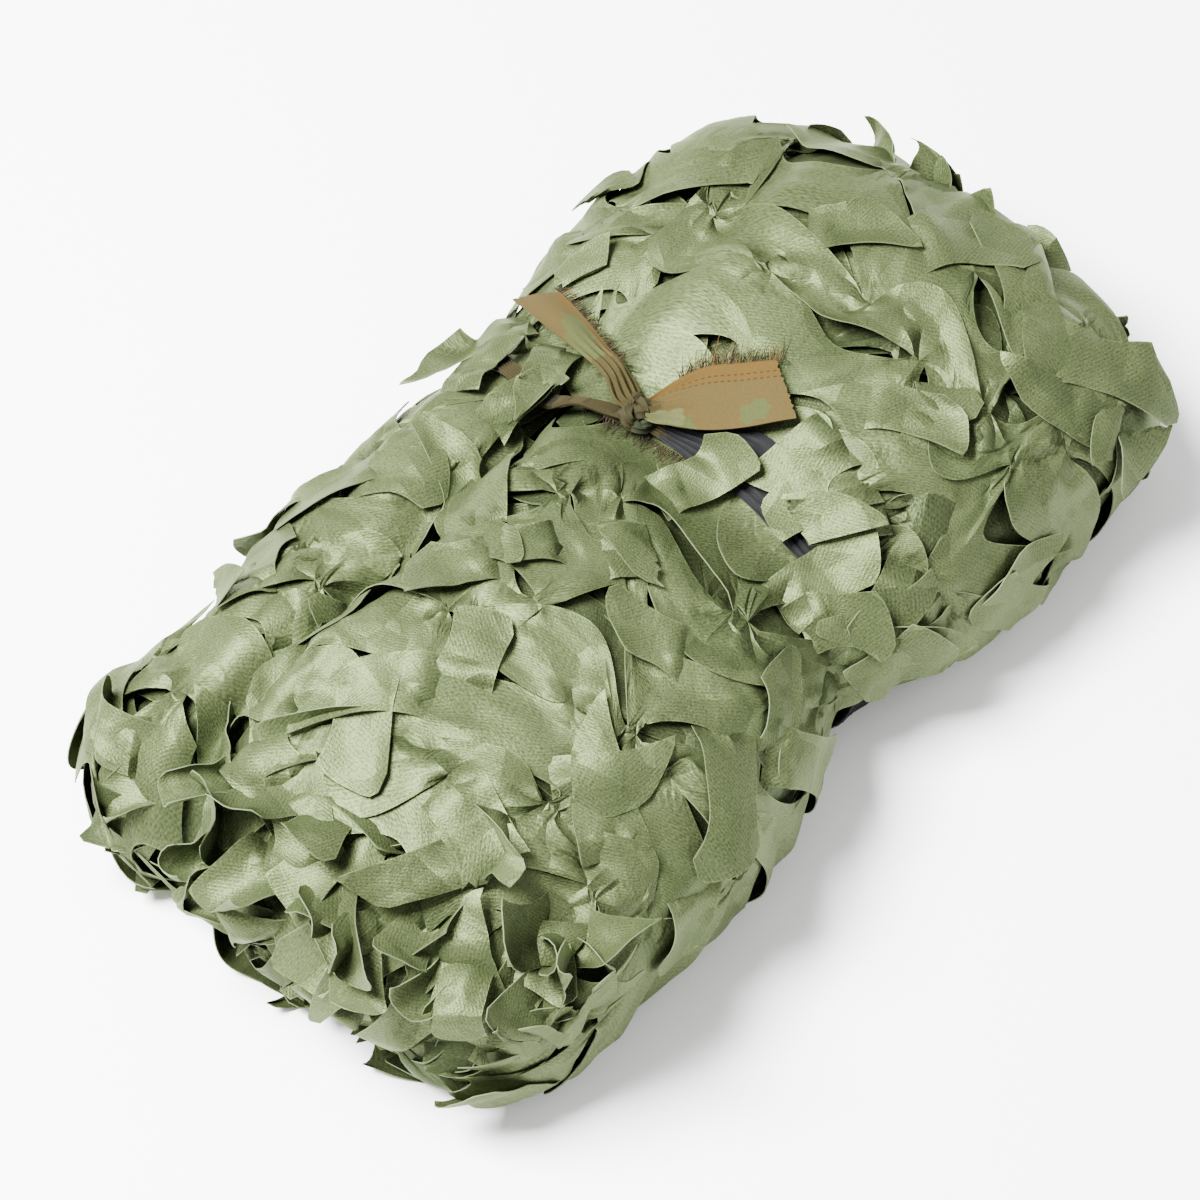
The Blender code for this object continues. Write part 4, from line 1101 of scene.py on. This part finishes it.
# patches of the print: along, across, radius and colour
band_cloth = woodland("tie_cloth_band", CHARCOAL, (
    (0.0, 0.0, 0.040, DUSK), (GIRTH, 0.0, 0.052, DUSK), (0.435, 0.0, 0.014, OLIVE),
    (0.40, -0.004, 0.020, OLIVE), (0.30, 0.0, 0.03, BARK), (0.20, 0.004, 0.02, OLIVE),
    (0.12, 0.0, 0.02, BARK)))
tie_piece(band, band_cloth, "tie")

# ---------------------------------------------------------------- the tie's free ends
# The two ends of the same strip, left lying on the net past the knot. The right one keeps a stitched
# selvedge seam along its far edge; the upper one is bunched at the knot and opens to a cut tip.

KNOT = (0.035, 0.017)
UP = np.array((0.0, 0.0, 1.0))
TAIL_HEADINGS = {"right": math.radians(-51), "upper": math.radians(69)}
SLANT = {"right": -0.0035, "upper": 0.0035}  # how far the cut runs askew
SPREAD_BY = {"right": 0.030, "upper": 0.050}  # the pleats at the knot have gone by here
PLEAT_RISE = {"right": 1.8 * mm, "upper": 2.6 * mm}
TAILS = {  # along, aside, rise, half width, tilt
    "right": np.array((
        (0.002, 0.000, 0.0085, 0.0030, 0.00),
        (0.004, 0.000, 0.0085, 0.0045, 0.00),
        (0.012, 0.001, 0.0100, 0.0085, 0.10),
        (0.024, 0.002, 0.0090, 0.0130, 0.12),
        (0.040, 0.001, 0.0072, 0.0138, 0.10),
        (0.055, 0.000, 0.0070, 0.0132, 0.06),
    )),
    "upper": np.array((
        (0.002, 0.000, 0.0085, 0.0025, 0.00),
        (0.004, 0.000, 0.0085, 0.0040, 0.00),
        (0.016, -0.001, 0.0120, 0.0050, 0.15),
        (0.030, -0.001, 0.0145, 0.0055, 0.20),
        (0.050, 0.001, 0.0150, 0.0075, 0.15),
        (0.072, 0.002, 0.0155, 0.0084, 0.10),
    )),
}


def ground_height(x, y):
    """Height of the bundle's upper side at a place."""
    across = y / np.where(y > 0, section("far", x), section("near", x))
    part = np.minimum(1.0, np.abs(across)) ** TOP_ROUNDNESS
    z = SHOULDER + (HEIGHT - SHOULDER) * (1 - part) ** (1 / TOP_ROUNDNESS)
    return shaped(x, across * WIDTH / 2, z)[..., 2]


def tail_place(name, along, side):
    """A point of a free end: along its heading from the knot, and across it from -1 to 1.

    Its rise, half width and tilt come from the table. A trough runs down its middle, and near the knot
    the cloth is drawn into pleats that fade as it spreads.
    """
    table = TAILS[name]
    aside, rise, half, tilt = (curve_through(table, column, along) for column in (1, 2, 3, 4))
    heading = TAIL_HEADINGS[name]
    ahead = np.array([math.cos(heading), math.sin(heading), 0.0])
    left = np.array([-ahead[1], ahead[0], 0.0])
    spot = np.array([*KNOT, 0.0]) + ahead * along[..., None] + left * aside[..., None]
    spot = spot - CENTRE
    spot[..., 2] = ground_height(spot[..., 0] + CENTRE[0], spot[..., 1] + CENTRE[1]) + rise
    gathered = 1 - smooth_step(along, 0.006, SPREAD_BY[name])
    pleat = 1 - np.abs(np.sin(math.pi * 2.0 * side + 0.4 + 25 * along))
    trough = 0.9 * mm * np.cos(math.pi * side) * (1 - 0.5 * along / table[-1, 0])
    lift = trough + gathered * PLEAT_RISE[name] * (pleat - 0.4)
    if name == "right":
        lift = lift + 1.0 * mm * np.exp(-(((side - 0.88) / 0.06) ** 2)) * smooth_step(along, 0.012, 0.020)
    across = left * np.cos(tilt)[..., None] + UP * np.sin(tilt)[..., None]
    return spot + across * (side * half)[..., None] + UP * lift[..., None]


def make_tail(name, steps=70, cells=24):
    """A free end as a grid, its cut end straight and very slightly ragged."""
    table = TAILS[name]
    side = np.linspace(-1, 1, cells + 1)[None, :]
    share = np.linspace(0, 1, steps + 1)[:, None]
    ragged = 0.35 * mm * np.sin(41 * side) + 0.25 * mm * np.sin(97 * side + 1)
    along = table[0, 0] + (table[-1, 0] - table[0, 0]) * share + (ragged + SLANT[name] * side) * share**6
    points = tail_place(name, along, side + 0 * along)
    flat = np.stack([along + 0 * side, side * STRIP_WIDTH / 2 + 0 * along], -1)
    return points, flat


FOLD_GREEN = (0.046, 0.050, 0.017)
# The upper end is modelled as one narrow layer; whether the real cloth is narrower there or folded can't be
# told. Its declared width is that layer's, set after the area check failed at the strip's own width; whether
# the real cloth is narrower there or folded can't be told.
PRINTS = {
    "right": ((0.0, 0.0, 0.010, KHAKI), (0.010, -0.012, 0.008, FOLD_GREEN),
              (0.020, -0.015, 0.004, PALE_GREEN), (0.044, -0.010, 0.0058, PALE_GREEN)),
    "upper": ((0.0, 0.0, 0.028, KHAKI), (0.036, 0.004, 0.010, PALE_GREEN), (0.046, -0.004, 0.009, PALE_GREEN),
              (0.060, -0.014, 0.005, SEAM)),
}
for name in TAILS:
    points, flat = make_tail(name)
    faces = grid_faces(*points.shape[:2])
    piece = surface_piece("tie_end_" + name, points.reshape(-1, 3), faces, flat.reshape(-1, 2))
    give_thickness(piece, STRIP_THICK)
    tie_piece(piece, woodland("tie_cloth_" + name, TAN, PRINTS[name], name == "right"), "tie")

# ---------------------------------------------------------------- the knot
# A hard overhand knot: the strip, crushed into ravelled cords, passes round itself twice and comes
# out as the two free ends and the band.

KNOT_GROUND = (0.017, 0.0145, 0.0045)
RIDGE_DEPTH = 0.30


def twisted_cord(path, radius, ridges, twist, sides=20):
    """A crushed strip along a path: its section is a circle with rounded ridges that turn as it goes.

    The frame follows the path: one side is square to the way ahead and to the upright.
    """
    ahead = unit(np.gradient(path, axis=0))
    aside = unit(np.cross(ahead, np.array([0.13, 0.21, 0.97])))
    above = np.cross(aside, ahead)
    turn = np.linspace(0, TAU, sides, endpoint=False)[None, :]
    way = np.linspace(0, 1, len(path))[:, None]
    ridge = 1 - RIDGE_DEPTH * np.abs(np.sin(ridges / 2 * turn + twist * way))
    reach = np.asarray(radius)[:, None] * ridge
    ring = aside[:, None] * (np.cos(turn) * reach)[..., None]
    ring = ring + above[:, None] * (np.sin(turn) * reach)[..., None]
    return path[:, None] + ring


def tube_faces(rings, sides):
    """Four-sided faces of an open tube of rings; a loop's ends are drawn nearly to a point."""
    number = np.arange(rings * sides).reshape(rings, sides)
    number = np.concatenate([number, number[:, :1]], axis=1)
    return np.stack([number[:-1, :-1], number[:-1, 1:], number[1:, 1:], number[1:, :-1]], -1).reshape(-1, 4)


def knot_loop(start, end, tilt, size):
    """One pass of the strip over the knot: an arc over its middle, flat and tilted about the upright."""
    t = np.linspace(0, 1, 36)
    angle = start + (end - start) * t
    flat = np.stack([np.cos(angle) * size[0], np.sin(angle) * size[1]], -1)
    rise = size[2] * np.sin(math.pi * t) + 0.0012 * np.sin(3 * angle)
    x = flat[:, 0] * math.cos(tilt) - flat[:, 1] * math.sin(tilt)
    y = flat[:, 0] * math.sin(tilt) + flat[:, 1] * math.cos(tilt)
    return np.stack([x, y, rise], -1)


knot_foot = ground_height(np.array(KNOT[0]), np.array(KNOT[1])) + BAND_CLEARANCE + 2.2 * mm
knot_middle = np.array([*KNOT, 0.0]) - CENTRE
knot_middle[2] = knot_foot
# six short passes: first and last angle, turn about the upright, reaches and rise, and thickness
loops = (
    (-0.4, 3.6, 0.3, (0.0058, 0.0030, 0.0052), 0.0027),
    (2.6, 6.9, 1.3, (0.0056, 0.0034, 0.0040), 0.0025),
    (-1.2, 2.2, 2.3, (0.0050, 0.0030, 0.0020), 0.0026),
    (1.0, 4.8, 0.9, (0.0062, 0.0040, 0.0005), 0.0026),
    (0.2, 3.3, 1.9, (0.0030, 0.0012, 0.0042), 0.0026),
    (3.3, 6.2, 0.6, (0.0034, 0.0010, 0.0022), 0.0030),
)
knot_points, knot_faces = [], []
for number, (start, end, tilt, size, radius) in enumerate(loops):
    path = knot_middle + knot_loop(start, end, tilt, size)
    t = np.linspace(0, 1, len(path))
    swell = radius * np.sqrt(np.clip(1 - (2 * t - 1) ** 6, 0.0004, 1))
    rings = twisted_cord(path, swell, 5 + number % 2, 5.0 - number)
    knot_faces.append(tube_faces(*rings.shape[:2]) + sum(len(p) for p in knot_points))
    knot_points.append(rings.reshape(-1, 3))
knot_points = np.concatenate(knot_points)
knot = surface_piece("tie_knot", knot_points, np.concatenate(knot_faces), knot_points[:, :2] * 1.7)
knot_patches = (0.06, 0.02, 0.006, SEAM), (0.05, 0.03, 0.008, OLIVE)
tie_piece(knot, woodland("tie_cloth_knot", KNOT_GROUND, knot_patches), "tie")

# ---------------------------------------------------------------- the frayed threads
# Warp threads stand out where the strip was torn: along the right end's far edge, down the upper
# end's edge and beside the dark stretch of the band. Each is a loose curved yarn.

THREAD_THICK, THREAD_RINGS, THREAD_SIDES = 0.50 * mm, 7, 3


def fringe(roots, outward, up, length, seed):
    """Threads from a line of roots: each bends sideways and droops as the square of the way along it.

    It thins by two thirds towards the tip.
    """
    draw = np.random.default_rng(seed)
    count = len(roots)
    s = np.linspace(0, 1, THREAD_RINGS)[None, :, None]
    reach = (length * draw.uniform(0.45, 1.25, count))[:, None, None]
    along = unit(np.gradient(roots, axis=0))
    lean, bend = draw.uniform(-0.5, 0.9, (2, count))[:, :, None, None]
    rise = draw.uniform(-0.25, 0.7, count)[:, None, None]
    droop = draw.uniform(0.0, 0.6, count)[:, None, None]
    path = roots[:, None] + reach * s * (outward[:, None] + lean * along[:, None] * 0.6 + rise * up)
    path = path + reach * s**2 * (bend * along[:, None] * 0.5 - droop * up)
    turn = TAU * np.arange(THREAD_SIDES) / THREAD_SIDES
    thick = THREAD_THICK / 2 * (1 - 0.65 * s)
    side = unit(np.cross(outward, up))
    ring = side[:, None, None] * np.cos(turn)[:, None] + up * np.sin(turn)[:, None]
    points = path[:, :, None] + ring * thick[..., None]
    number = np.arange(points[..., 0].size).reshape(points.shape[:3])
    number = np.concatenate([number, number[:, :, :1]], axis=2)
    sides = np.stack([number[:, :-1, :-1], number[:, :-1, 1:], number[:, 1:, 1:], number[:, 1:, :-1]], -1)
    tone = np.repeat(draw.random(count), THREAD_RINGS * THREAD_SIDES)
    return points.reshape(-1, 3), sides.reshape(-1, 4), tone


YARN_TONES = ((0.0, (0.008, 0.007, 0.005)), (0.42, (0.020, 0.013, 0.006)),
              (0.7, (0.035, 0.032, 0.014)), (1.0, (0.09, 0.048, 0.015)))


def yarn(name):
    """Loose cotton yarn in black, bark brown, olive and tan, one tone to a thread."""
    material, shader = new_material(name, Roughness=0.9, Specular_IOR_Level=0.1)
    ramp = Wire.out("ShaderNodeValToRGB", {"stops": YARN_TONES}, n0=point_mark("tone"))
    link(ramp, shader, "Base Color")
    return material


thread_yarn = yarn("tie_yarn")


def edge_frame(inner, outer):
    """Roots on the outer line, and the unit way out from the inner one."""
    out = outer - inner
    return outer - 0.05 * out, unit(out)


for name, start, end, side, count, length in (("right", 0.016, 0.054, 1, 120, 0.0085),
                                              ("upper", 0.022, 0.072, -1, 100, 0.0060)):
    along = np.linspace(start, end, count)
    roots, out = edge_frame(tail_place(name, along, np.full(count, 0.8 * side)),
                            tail_place(name, along, np.full(count, 1.0 * side)))
    points, faces, tone = fringe(roots, out, UP, length, 5 + count)
    piece = surface_piece("tie_threads_" + name, points, faces, tone=tone)
    tie_piece(piece, thread_yarn, "fray_" + name)

share = np.linspace(0.955, 0.880, 80)
ground = bundle(share, BAND_UNDER_X) + CENTRE
middle, half = band_line(ground[:, 1], ground[:, 2])
ROOT_HEIGHT, DARKER = 2.0 * mm, 0.5
inner, outer = (raised(share, middle - part * half, ROOT_HEIGHT) for part in (0.8, 1.0))
roots, out = edge_frame(inner, outer)
points, faces, tone = fringe(roots, out, unit_normal(bundle, share, middle)[0], 0.0065, 77)
piece = surface_piece("tie_threads_band", points, faces, tone=tone * DARKER)
tie_piece(piece, thread_yarn, "fray_band")

# ---------------------------------------------------------------- the set
# A white floor under the bundle, a long lens from above its crumpled end and near side, one large soft
# light high on the left behind it, a weak one opposite, and an even white surrounding.

CAMERA_AZIMUTH, CAMERA_ELEVATION = math.radians(-51.0), math.radians(55.5)
CAMERA_DISTANCE = 1.65
CAMERA_AIM = np.array((-0.01565, 0.00363, 0.0405))
CAMERA_FIELD, SENSOR = 0.4464, 36.0  # what the picture spans at the aim, in metres, and the sensor in mm

back = np.array((math.sin(CAMERA_AZIMUTH) * math.cos(CAMERA_ELEVATION),
                 -math.cos(CAMERA_AZIMUTH) * math.cos(CAMERA_ELEVATION), math.sin(CAMERA_ELEVATION)))
camera_data = bpy.data.cameras.new("camera")
camera = in_scene("camera", camera_data)
camera.location = CAMERA_AIM + back * CAMERA_DISTANCE
camera.rotation_mode = "QUATERNION"
camera.rotation_quaternion = Vector(-back).to_track_quat("-Z", "Y")
camera_data.sensor_width = SENSOR
camera_data.lens = SENSOR * CAMERA_DISTANCE / CAMERA_FIELD
bpy.context.scene.camera = camera

floor_mesh = bpy.data.meshes.new("floor")
FLOOR = 3.0
floor_corners = [(x * FLOOR, y * FLOOR, 0) for x, y in ((-1, -1), (1, -1), (1, 1), (-1, 1))]
floor_mesh.from_pydata(floor_corners, [], [(0, 1, 2, 3)])
floor = in_scene("floor", floor_mesh)
paper, _ = new_material("pale_floor", Base_Color=(0.95, 0.95, 0.95), Roughness=0.9)
floor.data.materials.append(paper)


def soft_light(name, place, aim, size, power):
    """A square light at a place, turned to its aim."""
    data = bpy.data.lights.new(name, "AREA")
    data.size = size
    data.energy = power
    item = in_scene(name, data)
    item.location = place
    item.rotation_mode = "QUATERNION"
    item.rotation_quaternion = (Vector(aim) - Vector(place)).to_track_quat("-Z", "Y")


soft_light("key", (-0.66, 0.62, 1.62), (0, 0, 0), 0.85, 345)
soft_light("fill", (0.9, -1.2, 1.4), (0, 0, 0), 1.4, 10)
world = bpy.data.worlds.new("world")
bpy.context.scene.world = world
world.use_nodes = True
surrounding = world.node_tree.nodes["Background"]
surrounding.inputs[0].default_value = (1.0, 1.0, 1.0, 1.0)
surrounding.inputs[1].default_value = 1.13
